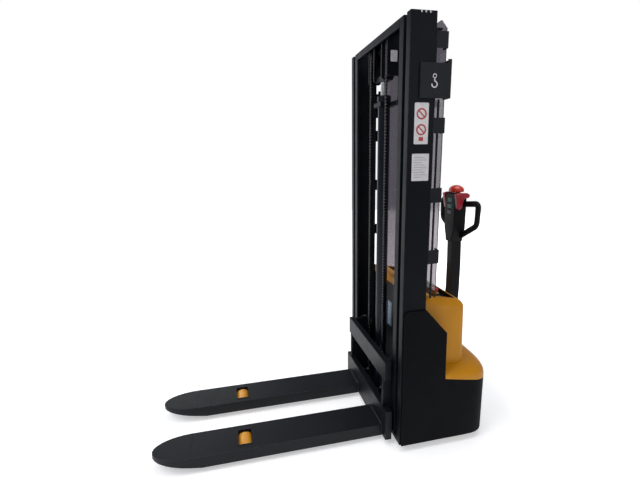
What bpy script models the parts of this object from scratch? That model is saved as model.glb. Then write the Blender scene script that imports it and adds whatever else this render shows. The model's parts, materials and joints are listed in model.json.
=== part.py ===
"""Walkie stacker: a small electric pallet stacker with a two-stage mast.

Units are metres. +Z is up, the forks point along -Y and the driver walks at +Y.
Lengths in the design are measured from the front face of the fork plate, widths from
the centre plane and heights from the floor. The root empty then moves the whole truck
so that the middle of its length, on the floor, is the origin.
"""
import math

import bmesh
import bpy
from mathutils import Matrix, Vector

# ---------------------------------------------------------------- driving dimensions
GAP = 0.0003                     # clearance between faces that touch
MAST_HEIGHT = 2.040
BODY_HALF_WIDTH = 0.400
FORK_LENGTH = 1.150
REAR = 0.585                     # rearmost point of the body
SIDES = (("left", -1), ("right", 1))
ADD, CUT = "UNION", "DIFFERENCE"

# Forks and carriage
FORK_INNER, FORK_OUTER = 0.105, 0.285
FORK_TOP, FORK_BOTTOM = 0.088, 0.027
FORK_PLATE = 0.008
FORK_NOSE_START = 0.967
FORK_TIP_THICKNESS = 0.020
WHEEL_Y = -0.706
WHEEL_X = (FORK_INNER + FORK_OUTER) / 2
WINDOW = (0.105, 0.068)          # width, length
CARRIAGE_PLATE = 0.034
CARRIAGE_BAR = (0.004, 0.036)

# Support legs and load wheels
LEG_INNER, LEG_OUTER = 0.125, 0.265
LEG_BOTTOM, LEG_TOP = 0.020, 0.074
LEG_WALL = 0.009
LOAD_WHEEL_R, LOAD_WHEEL_W = 0.041, 0.092

# Mast rails: C channels that open inwards
RAIL_FRONT, RAIL_REAR = 0.050, 0.168
RAIL_MID = (RAIL_FRONT + RAIL_REAR) / 2
RAIL_FLANGE, RAIL_WEB = 0.012, 0.010
OUTER_RAIL = (0.352, 0.390)      # flange tip, outer face
INNER_RAIL = (0.283, 0.325)
OUTER_RAIL_BOTTOM = 0.038
INNER_RAIL_BOTTOM = 0.062
ROLLER_R = (RAIL_REAR - RAIL_FRONT) / 2 - RAIL_FLANGE - GAP
PIN_R = 0.015
MAST_ROLLER_Z = 0.112
CARRIAGE_ROLLER_Z = (0.134, 0.408)

GUARD_FRONT = 0.225
CONDUIT, CONDUIT_R = (0.378, 0.194), 0.005

# Lift cylinder, pulleys and chains
CYLINDER_Y = 0.100
CYLINDER_R, CYLINDER_BORE = 0.031, 0.024
CYLINDER_TOP = 1.770
ROD_R = 0.0175
ROD_TOP = 1.838
CHAIN_X, CHAIN_W, CHAIN_T = 0.105, 0.016, 0.008
PULLEY_Z = 1.985
PULLEY_R, PULLEY_GROOVE_R = 0.038, 0.029
CHAIN_INNER_R = PULLEY_GROOVE_R + GAP
AXLE_R = 0.012
ANCHOR_TOP = 1.735
LUG_TOP = 0.182

# Body, covers and batteries
FLOOR_BOTTOM, FLOOR_TOP = 0.150, 0.158
SKIN = 0.005
CORNER_START = 0.400             # where the sides begin to turn round the back
CORNER_POWER = 3.45              # superellipse exponent of that turn
COVER_BOTTOM = 0.038
SEAM_FRONT, SEAM_REAR = 0.3755, 0.320  # height of the black and yellow boundary
SEAM_GAP = 0.002
COLUMN_HALF_WIDTH = 0.330
COLUMN_FRONT, COLUMN_REAR = 0.172, 0.425
COLUMN_TOP_FRONT, COLUMN_TOP_REAR = 0.795, 0.745
COLUMN_ROUND = 0.036
COLUMN_LIP = 0.752               # lower edge of its front lip
BULGE_FRONT = 0.286

# Drive head, steering and tiller
STEER_Y = 0.462
DRIVE_WHEEL_R, DRIVE_WHEEL_W = 0.105, 0.070
CASTER_X, CASTER_Y, CASTER_TRAIL = 0.270, 0.430, 0.035
CASTER_R, CASTER_W = 0.060, 0.030
PIVOT = Vector((0.0, 0.530, 0.480))    # tiller pivot
ARM_HALF_WIDTH = 0.026
HEAD_FRONT, HEAD_REAR = 0.505, 0.578
HEAD_BOTTOM, HEAD_TOP = 0.985, 1.258
THROTTLE = Vector((0.0, 0.535, 1.225))
TILLER_WELL_R, TILLER_WELL_TOP = 0.108, 0.560
BUTTON_HALF = (0.020, 0.010)
BUTTONS = ((1.222, "horn_button", "teal_plastic"), (1.186, "lift_button", "teal_plastic"),
           (1.152, "lower_button", "grey_plastic"))

# Control panel: a tray in the sloping top of the rear cover
PANEL_SLOPE = math.atan2(COLUMN_TOP_FRONT - COLUMN_TOP_REAR, COLUMN_REAR - COLUMN_FRONT)
PANEL_Y = 0.318
PANEL_HALF = (0.285, 0.070)
PANEL_DEPTH = 0.020
PANEL_ORIGIN = (0.0, PANEL_Y, COLUMN_TOP_FRONT - math.tan(PANEL_SLOPE) * (PANEL_Y - COLUMN_FRONT))
PANEL_TILT = Matrix.Rotation(-PANEL_SLOPE, 4, "X")
PANEL_FRAME = Matrix.Translation(PANEL_ORIGIN) @ PANEL_TILT
ESTOP = (0.150, 0.030)           # on the panel: across, down the slope
KEY = (0.060, 0.030)


# ---------------------------------------------------------------- solids
def block(low, high):
    """A box between two corners."""
    solid = bmesh.new()
    bmesh.ops.create_cube(solid, size=1.0)
    low, high = Vector(low), Vector(high)
    for vert in solid.verts:
        vert.co = Vector([l + (c + 0.5) * (h - l) for l, h, c in zip(low, high, vert.co)])
    return solid


def prism(axis, outline, start, end):
    """An outline extruded along an axis; its points are (y, z), (x, z) or (x, y)."""
    solid = bmesh.new()
    slot = "XYZ".index(axis)

    def ring(level):
        points = []
        for a, b in outline:
            point = [a, b]
            point.insert(slot, level)
            points.append(solid.verts.new(point))
        return points

    first, last = ring(start), ring(end)
    solid.faces.new(first)
    solid.faces.new(reversed(last))
    for i in range(len(outline)):
        j = (i + 1) % len(outline)
        solid.faces.new((first[i], last[i], last[j], first[j]))
    bmesh.ops.recalc_face_normals(solid, faces=solid.faces)
    return solid


def lathe(profile, centre, axis="Z", segments=32, squash=1.0):
    """A closed (radius, height) profile turned round an axis through centre.

    squash narrows the solid along the second of the two directions across the axis.
    """
    solid = bmesh.new()
    slot = "XYZ".index(axis)
    rings = []
    for radius, height in profile:
        count = segments if radius > 0 else 1
        ring = []
        for k in range(count):
            angle = 2 * math.pi * k / segments
            point = [radius * math.cos(angle), radius * math.sin(angle) * squash]
            point.insert(slot, height)
            ring.append(solid.verts.new(Vector(point) + Vector(centre)))
        rings.append(ring)
    for i, ring in enumerate(rings):
        after = rings[(i + 1) % len(rings)]
        if len(ring) == 1 and len(after) == 1:
            continue
        for k in range(segments):
            n = (k + 1) % segments
            corners = [ring[k % len(ring)], ring[n % len(ring)],
                       after[n % len(after)], after[k % len(after)]]
            solid.faces.new(list(dict.fromkeys(corners)))
    bmesh.ops.recalc_face_normals(solid, faces=solid.faces)
    return solid


def rod(radius, centre, axis, start, end, segments=32):
    """A cylinder along an axis; start and end are coordinates on that axis."""
    base = Vector(centre)
    base["XYZ".index(axis)] = 0.0
    return lathe([(0, start), (radius, start), (radius, end), (0, end)], base, axis, segments)


def loft(rings):
    """A closed solid through rings of points of equal length."""
    solid = bmesh.new()
    loops = [[solid.verts.new(point) for point in ring] for ring in rings]
    solid.faces.new(loops[0])
    solid.faces.new(reversed(loops[-1]))
    for low, high in zip(loops, loops[1:]):
        for i in range(len(low)):
            j = (i + 1) % len(low)
            solid.faces.new((low[i], high[i], high[j], low[j]))
    bmesh.ops.recalc_face_normals(solid, faces=solid.faces)
    return solid


def swept(path, half_width, half_depth, y, sides=12):
    """An oval bar along a path of (x, z) points in the plane at y."""
    rings = []
    for i, (x, z) in enumerate(path):
        before = Vector(path[max(i - 1, 0)])
        after = Vector(path[min(i + 1, len(path) - 1)])
        along = (after - before).normalized()
        across = Vector((along.y, -along.x))
        ring = []
        for k in range(sides):
            angle = 2 * math.pi * k / sides
            offset = across * (half_width * math.cos(angle))
            ring.append((x + offset.x, y + half_depth * math.sin(angle), z + offset.y))
        rings.append(ring)
    return loft(rings)


def rounded(outline, radius, steps=4):
    """Each corner of an outline as an arc; radius may be a number or one per corner."""
    points = []
    count = len(outline)
    radii = radius if isinstance(radius, (list, tuple)) else [radius] * count
    for i, corner in enumerate(outline):
        corner = Vector(corner)
        back = (Vector(outline[i - 1]) - corner).normalized()
        ahead = (Vector(outline[(i + 1) % count]) - corner).normalized()
        if radii[i] <= 0:
            points.append(tuple(corner))
            continue
        half = back.angle(ahead) / 2
        reach = radii[i] / math.tan(half)
        centre = corner + (back + ahead).normalized() * (radii[i] / math.sin(half))
        first = corner + back * reach - centre
        turn = (corner + ahead * reach - centre).angle_signed(first)
        for k in range(steps + 1):
            points.append(tuple(centre + Matrix.Rotation(turn * k / steps, 2) @ first))
    return points


def moved(solid, matrix):
    bmesh.ops.transform(solid, matrix=matrix, verts=solid.verts)
    return solid


def span(side, low, high):
    """Two x coordinates given for the right side, in order, on the side asked for."""
    return sorted((side * low, side * high))


def mirrored(low, high, side):
    """Corners of a box given for the right side, on the side asked for."""
    x_low, x_high = span(side, low[0], high[0])
    return (x_low, *low[1:]), (x_high, *high[1:])


# ---------------------------------------------------------------- objects
def clear_scene():
    for thing in list(bpy.data.objects):
        bpy.data.objects.remove(thing, do_unlink=True)


def frame_at(name, place, parent=None):
    """An empty at a place given in design coordinates."""
    empty = bpy.data.objects.new(name, None)
    empty.empty_display_size = 0.05
    bpy.context.collection.objects.link(empty)
    empty["place"] = tuple(place)
    if parent:
        empty.parent = parent
        empty.location = Vector(place) - Vector(parent["place"])
    return empty


def link_solid(name, solid, parent, smooth_angle=30):
    """Turn a solid into an object whose origin is its parent's."""
    moved(solid, Matrix.Translation(-Vector(parent["place"])))
    mesh = bpy.data.meshes.new(name)
    solid.to_mesh(mesh)
    solid.free()
    if smooth_angle:
        mesh.shade_smooth()
        mesh.set_sharp_from_angle(angle=math.radians(smooth_angle))
    thing = bpy.data.objects.new(name, mesh)
    bpy.context.collection.objects.link(thing)
    thing.parent = parent
    return thing


def finish_material(name, colour, roughness, metallic):
    material = bpy.data.materials.new(name)
    material.use_nodes = True
    shader = material.node_tree.nodes["Principled BSDF"]
    shader.inputs["Base Color"].default_value = (*colour, 1.0)
    shader.inputs["Roughness"].default_value = roughness
    shader.inputs["Metallic"].default_value = metallic
    material.diffuse_color = (*colour, 1.0)
    return material


def piece(name, look, parent, base, *steps):
    """One sub-part: a base solid, then solids that are added to it or cut from it."""
    thing = link_solid(name, base, parent)
    thing.data.materials.append(finish_material(name, *LOOKS[look]))
    for number, (operation, solid) in enumerate(steps):
        tool = link_solid(f"{name}_tool_{number}", solid, parent)
        tool.hide_render = True
        tool.display_type = "WIRE"
        step = thing.modifiers.new(operation.title(), "BOOLEAN")
        step.operation = operation
        step.solver = "EXACT"
        step.object = tool
    return thing


# colour, roughness, metallic
LOOKS = {
    "frame_paint": ((0.012, 0.014, 0.018), 0.42, 0.0),
    "cover_black": ((0.010, 0.011, 0.012), 0.60, 0.0),
    "cover_yellow": ((0.58, 0.24, 0.022), 0.40, 0.0),
    "panel_black": ((0.008, 0.008, 0.009), 0.55, 0.0),
    "clear_guard": ((0.62, 0.60, 0.66), 0.15, 0.0),
    "cylinder_black": ((0.010, 0.012, 0.022), 0.20, 0.0),
    "polished_steel": ((0.70, 0.71, 0.72), 0.15, 1.0),
    "chain_steel": ((0.38, 0.38, 0.38), 0.35, 1.0),
    "bare_steel": ((0.45, 0.45, 0.46), 0.40, 1.0),
    "cast_iron": ((0.10, 0.10, 0.11), 0.60, 1.0),
    "polyurethane": ((0.74, 0.36, 0.035), 0.45, 0.0),
    "drive_tyre": ((0.02, 0.02, 0.02), 0.70, 0.0),
    "battery_grey": ((0.06, 0.06, 0.07), 0.55, 0.0),
    "red_plastic": ((0.58, 0.025, 0.015), 0.35, 0.0),
    "crimson_plastic": ((0.42, 0.010, 0.025), 0.40, 0.0),
    "teal_plastic": ((0.06, 0.22, 0.18), 0.45, 0.0),
    "grey_plastic": ((0.16, 0.15, 0.20), 0.50, 0.0),
}


# ---------------------------------------------------------------- chassis
def plan_point(t, half_width, rear):
    """A point of the body's plan: t is 0 on the side and 1 in the middle of the back."""
    angle = t * math.pi / 2
    x = half_width * math.cos(angle) ** (2 / CORNER_POWER)
    y = CORNER_START + (rear - CORNER_START) * math.sin(angle) ** (2 / CORNER_POWER)
    return x, y


def seam_height(y):
    """Height of the boundary between the black side covers and the yellow rear cover."""
    return SEAM_FRONT + (SEAM_REAR - SEAM_FRONT) * (y - BULGE_FRONT) / (REAR - BULGE_FRONT)


def base_frame(truck):
    sill, wall = OUTER_RAIL[0] - 0.001, 0.008
    bulkhead = COLUMN_HALF_WIDTH - SKIN - 0.0005
    floor_side = BODY_HALF_WIDTH - 0.015
    floor_outline = [(floor_side, 0.172), (floor_side, 0.420), (0.355, 0.500), (0.280, 0.550)]
    floor_outline += [(-x, y) for x, y in reversed(floor_outline)]
    cheek, front, rear = 0.142, 0.372, 0.545
    low, high = 0.246, 0.254
    steer = (0, STEER_Y, 0)
    piece("base_frame", "frame_paint", truck,
          block((-sill, RAIL_FRONT, 0.038), (sill, 0.174, 0.058)),
          (ADD, block((-sill, 0.170, 0.038), (sill, 0.178, FLOOR_TOP))),
          (ADD, prism("Z", floor_outline, FLOOR_BOTTOM, FLOOR_TOP)),
          (ADD, block((-bulkhead, 0.1725, FLOOR_BOTTOM + 0.001), (bulkhead, 0.1775, COLUMN_LIP - 0.002))),
          (ADD, block((-cheek - wall, front, FLOOR_BOTTOM), (-cheek, rear, high))),
          (ADD, block((cheek, front, FLOOR_BOTTOM), (cheek + wall, rear, high))),
          (ADD, block((-cheek - wall, front, low), (cheek + wall, rear, high))),
          (CUT, rod(0.140, steer, "Z", 0.100, 0.200)),
          (CUT, rod(0.050, steer, "Z", 0.240, 0.260)))


def support_leg(truck, label, side):
    x = side * WHEEL_X
    slot_x, slot_y = LOAD_WHEEL_W / 2 + 0.002, LOAD_WHEEL_R + 0.004
    hollow_x = (LEG_OUTER - LEG_INNER) / 2 - LEG_WALL
    half = (LEG_OUTER - LEG_INNER) / 2
    piece(f"support_leg_{label}", "frame_paint", truck,
          block((x - half, WHEEL_Y - slot_y - 0.010, LEG_BOTTOM), (x + half, RAIL_FRONT - GAP, LEG_TOP)),
          (CUT, block((x - hollow_x, WHEEL_Y + slot_y + 0.012, 0.0),
                      (x + hollow_x, RAIL_FRONT - 0.020, LEG_TOP - LEG_WALL))),
          (CUT, block((x - slot_x, WHEEL_Y - slot_y, 0.0), (x + slot_x, WHEEL_Y + slot_y, 0.1))),
          (ADD, rod(0.010, (x, WHEEL_Y, LOAD_WHEEL_R), "X", x - half + 0.002, x + half - 0.002, 20)))


def channel_outline(tip, back, side):
    """Plan outline of a C channel that opens towards the centre plane."""
    front, rear = RAIL_FRONT + RAIL_FLANGE, RAIL_REAR - RAIL_FLANGE
    web = back - RAIL_WEB
    outline = [(tip, RAIL_FRONT), (back, RAIL_FRONT), (back, RAIL_REAR), (tip, RAIL_REAR),
               (tip, rear), (web, rear), (web, front), (tip, front)]
    return [(side * x, y) for x, y in outline]


def outer_rail(truck, label, side):
    piece(f"outer_mast_rail_{label}", "frame_paint", truck,
          prism("Z", channel_outline(*OUTER_RAIL, side), OUTER_RAIL_BOTTOM, MAST_HEIGHT))


def outer_top_beam(truck):
    half = OUTER_RAIL[0] + 0.014
    piece("outer_mast_top_beam", "frame_paint", truck,
          block((-half, RAIL_REAR + GAP, 1.930), (half, RAIL_REAR + 0.012, 1.985)),
          (ADD, block((-half, RAIL_REAR + 0.010, 1.977), (half, RAIL_REAR + 0.040, 1.985))))


def side_cover(truck, label, side):
    """Black cover: a flat side with a slanted shoulder, turning round the back."""
    front, top, face = 0.057, 0.752, BODY_HALF_WIDTH
    shoulder = [(0.169, top), (0.281, 0.625), (0.284, SEAM_FRONT)]
    turn_steps, seam_x, corner_r = 14, 0.0006, 0.025

    def plan_line(inset):
        turn = [plan_point(k / turn_steps, face - inset, REAR - inset) for k in range(turn_steps)]
        return [(face - inset, front)] + turn + [(seam_x, REAR - inset)]

    plan = [(side * x, y) for x, y in plan_line(0) + plan_line(SKIN)[::-1]]
    above = shoulder + [(BULGE_FRONT, SEAM_FRONT), (0.700, seam_height(0.700)),
                        (0.700, 0.800), (0.169, 0.800)]
    ledge = [(0.172, top + 0.002), (0.286, 0.626), (0.286, SEAM_FRONT - 0.002),
             (0.280, SEAM_FRONT - 0.002), (0.277, 0.6235), (0.1705, 0.7445)]
    corner = [(front - 0.010, top + 0.010)]
    for k in range(7):
        angle = k * math.pi / 12
        corner.append((front + corner_r * (1 - math.cos(angle)),
                       top - corner_r * (1 - math.sin(angle))))
    corner.append((front + corner_r, top + 0.010))
    lip_x = OUTER_RAIL[1] + GAP
    piece(f"side_cover_{label}", "cover_black", truck,
          prism("Z", plan, COVER_BOTTOM, top),
          (ADD, prism("X", ledge, *span(side, COLUMN_HALF_WIDTH + 0.001, face - 0.002))),
          (ADD, block(*mirrored((lip_x, front + 0.0005, COVER_BOTTOM + 0.001),
                                (face - 0.001, front + 0.005, top - 0.001), side))),
          (ADD, block(*mirrored((lip_x, front + 0.002, top - 0.006),
                                (face - 0.001, 0.1685, top - 0.001), side))),
          (CUT, prism("X", above, *span(side, -0.010, 0.450))),
          (CUT, prism("X", corner, *span(side, 0.380, 0.410))))


def bulge(inset, drop):
    """Lower part of the rear cover: from the seam in to the column, rounded at the back."""
    # half-width, rearmost point, share of the way up from the seam to the top
    stages = [(0.400, 0.585, 0.0), (0.400, 0.585, 0.16), (0.3985, 0.5825, 0.40), (0.393, 0.573, 0.60),
              (0.378, 0.548, 0.77), (0.356, 0.502, 0.90), (0.334, 0.442, 1.0)]
    top, steps = 0.414, 10
    rings = []
    for half_width, rear, rise in stages:
        half_width, rear = half_width - inset, rear - inset
        right = [(half_width, BULGE_FRONT + inset)]
        right += [plan_point(k / steps, half_width, rear) for k in range(steps)]
        outline = right + [(0.0, rear)] + [(-x, y) for x, y in reversed(right)]
        ring = []
        for x, y in outline:
            seam = seam_height(y) + SEAM_GAP
            ring.append((x, y, seam + (top - seam) * rise - drop))
        rings.append(ring)
    if drop:
        rings.insert(0, [(x, y, 0.200) for x, y, z in rings[0]])
    return loft(rings)


def column(inset, front, bottom):
    """Upper part of the rear cover, with a sloping top and rounded rear corners."""
    side = COLUMN_HALF_WIDTH - inset
    rear_top, rear_low = COLUMN_REAR - inset, COLUMN_REAR + 0.007 - inset
    slope = (COLUMN_TOP_REAR - COLUMN_TOP_FRONT) / (COLUMN_REAR - COLUMN_FRONT)
    top_front = COLUMN_TOP_FRONT - inset + slope * (front - COLUMN_FRONT)
    outline = [(front, bottom), (front, top_front), (rear_top, COLUMN_TOP_REAR - inset),
               (rear_low, 0.440), (rear_low, bottom)]
    solid = prism("X", outline, -side, side)
    corners = []
    for edge in solid.edges:
        ends = [vert.co for vert in edge.verts]
        along = ends[1] - ends[0]
        rear = min(end.y for end in ends) > 0.38
        upright = rear and abs(along.x) < 1e-6 and abs(along.z) > 0.05
        if upright or min(end.z for end in ends) > 0.70:
            if min(end.z for end in ends) < 0.70 or max(end.y for end in ends) > front + 0.01:
                corners.append(edge)
    bmesh.ops.bevel(solid, geom=corners, offset=COLUMN_ROUND - inset, segments=4, affect="EDGES",
                    profile=0.5)
    return solid


def panel_place(x, y, z):
    """A point given on the sloping top: x, distance down the slope, height above it."""
    return PANEL_FRAME @ Vector((x, y, z))


def rear_cover(truck):
    """Yellow cover: sloping column, bulge over the drive head and a lined well for the tiller."""
    half_x, half_y = PANEL_HALF[0] + 0.0005, PANEL_HALF[1] + 0.0005
    opening = block((-half_x, -half_y, -0.060), (half_x, half_y, 0.030))
    liner_r, liner_rear, steps = TILLER_WELL_R + SKIN, COLUMN_REAR + 0.003, 24
    reach = math.asin((liner_rear - STEER_Y) / liner_r)
    angles = [reach - k * (math.pi + 2 * reach) / steps for k in range(steps + 1)]
    liner = [(liner_r * math.cos(a), STEER_Y + liner_r * math.sin(a)) for a in angles]
    piece("rear_cover", "cover_yellow", truck,
          column(0.0, COLUMN_FRONT, 0.300),
          (ADD, bulge(0.0, 0.0)),
          (CUT, bulge(SKIN, 0.004)),
          (CUT, column(SKIN, 0.100, 0.200)),
          (CUT, moved(opening, PANEL_FRAME)),
          (ADD, block((-0.329, COLUMN_FRONT, COLUMN_LIP), (0.329, COLUMN_FRONT + SKIN, 0.758))),
          (ADD, block((-0.290, COLUMN_FRONT, 0.756), (0.290, COLUMN_FRONT + SKIN, 0.792))),
          (ADD, prism("Z", liner, 0.365, TILLER_WELL_TOP + SKIN)),
          (CUT, rod(TILLER_WELL_R, (0, STEER_Y, 0), "Z", 0.200, TILLER_WELL_TOP, 40)))


def control_panel(truck):
    half_x, half_y = PANEL_HALF
    wall = 0.004
    well = [moved(lathe([(0, -0.050), (r, -0.050), (r, 0.010), (0, 0.010)], (x, y, 0)), PANEL_FRAME)
            for x, y, r in ((ESTOP[0], ESTOP[1], 0.0090), (KEY[0], KEY[1], 0.0093))]
    piece("control_panel", "panel_black", truck,
          moved(block((-half_x, -half_y, -PANEL_DEPTH - wall), (half_x, half_y, -0.001)), PANEL_FRAME),
          (CUT, moved(block((-half_x + wall, -half_y + wall, -PANEL_DEPTH),
                            (half_x - wall, half_y - wall, 0.020)), PANEL_FRAME)),
          (CUT, well[0]),
          (CUT, well[1]))


def estop_button(truck):
    place = panel_place(*ESTOP, 0.0)
    body = frame_at("estop_frame", place, truck)
    profile = [(0, -0.030), (0.0086, -0.030), (0.0086, -0.010), (0.0195, -0.010), (0.0200, -0.004),
               (0.0190, 0.002), (0.0150, 0.006), (0, 0.008)]
    button = moved(lathe(profile, (0, 0, 0), "Z", 28), Matrix.Translation(place) @ PANEL_TILT)
    piece("estop_button", "red_plastic", body, button)


def key_switch(truck):
    place = panel_place(*KEY, 0.0)
    body = frame_at("key_frame", place, truck)
    turn = Matrix.Translation(place) @ PANEL_TILT
    profile = [(0, -0.034), (0.0088, -0.034), (0.0088, -PANEL_DEPTH + GAP), (0.0130, -PANEL_DEPTH + GAP),
               (0.0120, -0.015), (0, -0.015)]
    bow = rounded([(-0.011, -0.017), (0.011, -0.017), (0.009, 0.008), (-0.009, 0.008)], 0.003, 3)
    piece("key_switch", "bare_steel", body,
          moved(lathe(profile, (0, 0, 0), "Z", 28), turn),
          (ADD, moved(prism("Y", bow, -0.0015, 0.0015), turn)))


def mast_guard(truck):
    half, low, high, cut = 0.366, 0.797, 2.030, 0.045
    outline = [(-half, low), (half, low), (half, high - cut), (half - cut, high),
               (cut - half, high), (-half, high - cut)]
    piece("mast_guard", "clear_guard", truck, prism("Y", outline, GUARD_FRONT, GUARD_FRONT + 0.004))


def guard_bracket(truck, label, side):
    """Strip and stand-off feet of the clear guard; the right one also holds the cable conduit."""
    outer, rear = 0.386, GUARD_FRONT - GAP
    strip = block(*mirrored((0.368, RAIL_REAR + GAP, 0.975), (0.390, RAIL_REAR + 0.003, 1.967), side))
    steps = []
    for z in (0.975, 1.259, 1.560, 1.902):
        top = z + 0.065
        steps.append((ADD, block(*mirrored((outer - 0.005, RAIL_REAR + 0.001, z), (outer, rear, top), side))))
        steps.append((ADD, block(*mirrored((0.350, rear - 0.004, z), (outer, rear, top), side))))
    if side > 0:
        steps.append((ADD, rod(CONDUIT_R, (*CONDUIT, 0.0), "Z", 0.805, 1.700, 14)))
    piece(f"guard_bracket_{label}", "panel_black", truck, strip, *steps)


def lifting_bracket(truck, label, side):
    """A box section on the outside of the mast that takes a lifting hook."""
    outline = [(0.3903, 0.096), (0.3988, 0.096), (0.3988, 0.238), (0.340, 0.238), (0.340, 0.232),
               (0.3935, 0.232), (0.3935, 0.172), (0.3903, 0.172)]
    notch = block(*mirrored((0.380, 0.080, 1.842), (0.410, 0.222, 1.870), side))
    piece(f"lifting_bracket_{label}", "frame_paint", truck,
          prism("Z", [(side * x, y) for x, y in outline], 1.702, 1.858),
          (CUT, notch))


def cylinder_barrel(truck):
    bottom = 0.058 + GAP
    profile = [(0, bottom), (CYLINDER_R + 0.006, bottom), (CYLINDER_R + 0.006, bottom + 0.020),
               (CYLINDER_R, bottom + 0.020), (CYLINDER_R, CYLINDER_TOP - 0.030),
               (CYLINDER_R + 0.004, CYLINDER_TOP - 0.030), (CYLINDER_R + 0.004, CYLINDER_TOP - 0.003),
               (CYLINDER_R, CYLINDER_TOP), (ROD_R + GAP, CYLINDER_TOP),
               (ROD_R + GAP, CYLINDER_TOP - 0.020), (CYLINDER_BORE, CYLINDER_TOP - 0.020),
               (CYLINDER_BORE, bottom + 0.020), (0, bottom + 0.020)]
    piece("cylinder_barrel", "cylinder_black", truck, lathe(profile, (0, CYLINDER_Y, 0), "Z", 28))


def chain_anchor_bracket(truck):
    reach, arm_front = CHAIN_X + 0.015, 0.118
    outline = [(-0.045, 0.062), (0.045, 0.062), (0.045, arm_front), (reach, arm_front), (reach, 0.145),
               (-reach, 0.145), (-reach, arm_front), (-0.045, arm_front)]
    low = ANCHOR_TOP - 0.020
    steps = [(CUT, rod(CYLINDER_R + GAP * 2, (0, CYLINDER_Y, 0), "Z", low - 0.01, ANCHOR_TOP + 0.01, 28))]
    piece("chain_anchor_bracket", "frame_paint", truck, prism("Z", outline, low, ANCHOR_TOP), *steps)


def battery(truck, label, side):
    inner, outer, top = 0.010, 0.315, 0.368
    front, rear = 0.192, 0.340
    terminal_y = 0.225
    posts = [(ADD, rod(0.009, (side * x, terminal_y, 0), "Z", top - 0.005, top + 0.014, 16))
             for x in (inner + 0.035, outer - 0.035)]
    piece(f"battery_{label}", "battery_grey", truck,
          block(*mirrored((inner, front, FLOOR_TOP + GAP), (outer, rear, top), side)), *posts)


def hydraulic_power_unit(truck):
    """Oil tank, pump block and pump motor in one unit above the batteries."""
    low = 0.386
    piece("hydraulic_power_unit", "bare_steel", truck,
          block((-0.190, 0.205, low), (0.020, 0.325, low + 0.140)),
          (ADD, block((0.010, 0.225, low), (0.075, 0.305, low + 0.090))),
          (ADD, rod(0.055, (0, 0.265, low + 0.058), "X", 0.070, 0.235, 32)),
          (ADD, rod(0.014, (-0.150, 0.265, 0), "Z", low + 0.130, low + 0.160, 20)))


# ---------------------------------------------------------------- wheels
def wheel_solid(radius, width, bore, centre, core, segments=36):
    """A wheel with rounded shoulders, recessed sides and a bored hub, turned about X."""
    x0, half, hub = centre[0], width / 2, bore + 0.009
    rim, dish = radius * core, width * 0.12
    edge = min(0.004, width * 0.1)
    half_profile = [(bore, 0.0), (bore, half), (hub, half), (hub, half - dish), (rim, half - dish),
                    (rim, half), (radius - edge, half), (radius, half - edge)]
    profile = half_profile[1:] + [(r, -h) for r, h in reversed(half_profile[1:])]
    return lathe(profile, (x0, centre[1], centre[2]), "X", segments)


def load_wheel(truck, label, side):
    centre = (side * WHEEL_X, WHEEL_Y, LOAD_WHEEL_R)
    body = frame_at(f"load_wheel_{label}_frame", centre, truck)
    piece(f"load_wheel_{label}", "polyurethane", body,
          wheel_solid(LOAD_WHEEL_R, LOAD_WHEEL_W, 0.010 + GAP, centre, 0.70, 28))


def caster(truck, label, side):
    swivel = frame_at(f"caster_{label}_swivel", (side * CASTER_X, CASTER_Y, CASTER_R), truck)
    x, axle_y = side * CASTER_X, CASTER_Y - CASTER_TRAIL
    inner, outer = CASTER_W / 2 + 0.002, CASTER_W / 2 + 0.007
    cheek = [(CASTER_Y - 0.030, 0.142), (CASTER_Y + 0.030, 0.142), (CASTER_Y + 0.026, 0.120),
             (axle_y + 0.014, CASTER_R - 0.004), (axle_y, CASTER_R - 0.016),
             (axle_y - 0.014, CASTER_R - 0.004), (CASTER_Y - 0.046, 0.110)]
    piece(f"caster_fork_{label}", "bare_steel", swivel,
          rod(0.036, (x, CASTER_Y, 0), "Z", 0.134, FLOOR_BOTTOM - GAP, 28),
          (ADD, prism("X", cheek, x - outer, x - inner)),
          (ADD, prism("X", cheek, x + inner, x + outer)),
          (ADD, rod(0.008, (x, axle_y, CASTER_R), "X", x - outer - 0.003, x + outer + 0.003, 16)))
    centre = (x, axle_y, CASTER_R)
    hub = frame_at(f"caster_{label}_axle", centre, swivel)
    piece(f"caster_wheel_{label}", "polyurethane", hub,
          wheel_solid(CASTER_R, CASTER_W, 0.008 + GAP, centre, 0.62, 24))


def drive_head(truck):
    """Gearbox, motor and yoke, which turn together about the steering axis."""
    head = frame_at("steering_axis", (0, STEER_Y, DRIVE_WHEEL_R), truck)
    centre = (0, STEER_Y, DRIVE_WHEEL_R)
    half = DRIVE_WHEEL_W / 2
    side_case = [(STEER_Y + 0.052 * math.cos(a), DRIVE_WHEEL_R + 0.052 * math.sin(a))
                 for a in [math.pi + k * math.pi / 10 for k in range(11)]]
    side_case += [(STEER_Y + 0.046, 0.240), (STEER_Y - 0.046, 0.240)]
    piece("drive_gearbox", "cast_iron", head,
          rod(0.075, (0, STEER_Y, 0), "Z", 0.218, 0.2457, 24),
          (ADD, prism("X", side_case, half + 0.006, 0.104)),
          (ADD, rod(0.040, (0, STEER_Y, 0), "Z", 0.230, 0.262, 24)),
          (ADD, rod(0.018, centre, "X", -half - 0.004, half + 0.010, 24)))
    hub = frame_at("drive_axle", centre, head)
    piece("drive_wheel", "drive_tyre", hub,
          wheel_solid(DRIVE_WHEEL_R, DRIVE_WHEEL_W, 0.018 + GAP, centre, 0.78, 36))
    motor = [(0, 0.262 + GAP), (0.075, 0.262 + GAP), (0.075, 0.270), (0.058, 0.272), (0.058, 0.424),
             (0.050, 0.436), (0, 0.436)]
    piece("drive_motor", "cast_iron", head, lathe(motor, (0, STEER_Y, 0), "Z", 24))
    return head


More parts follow.
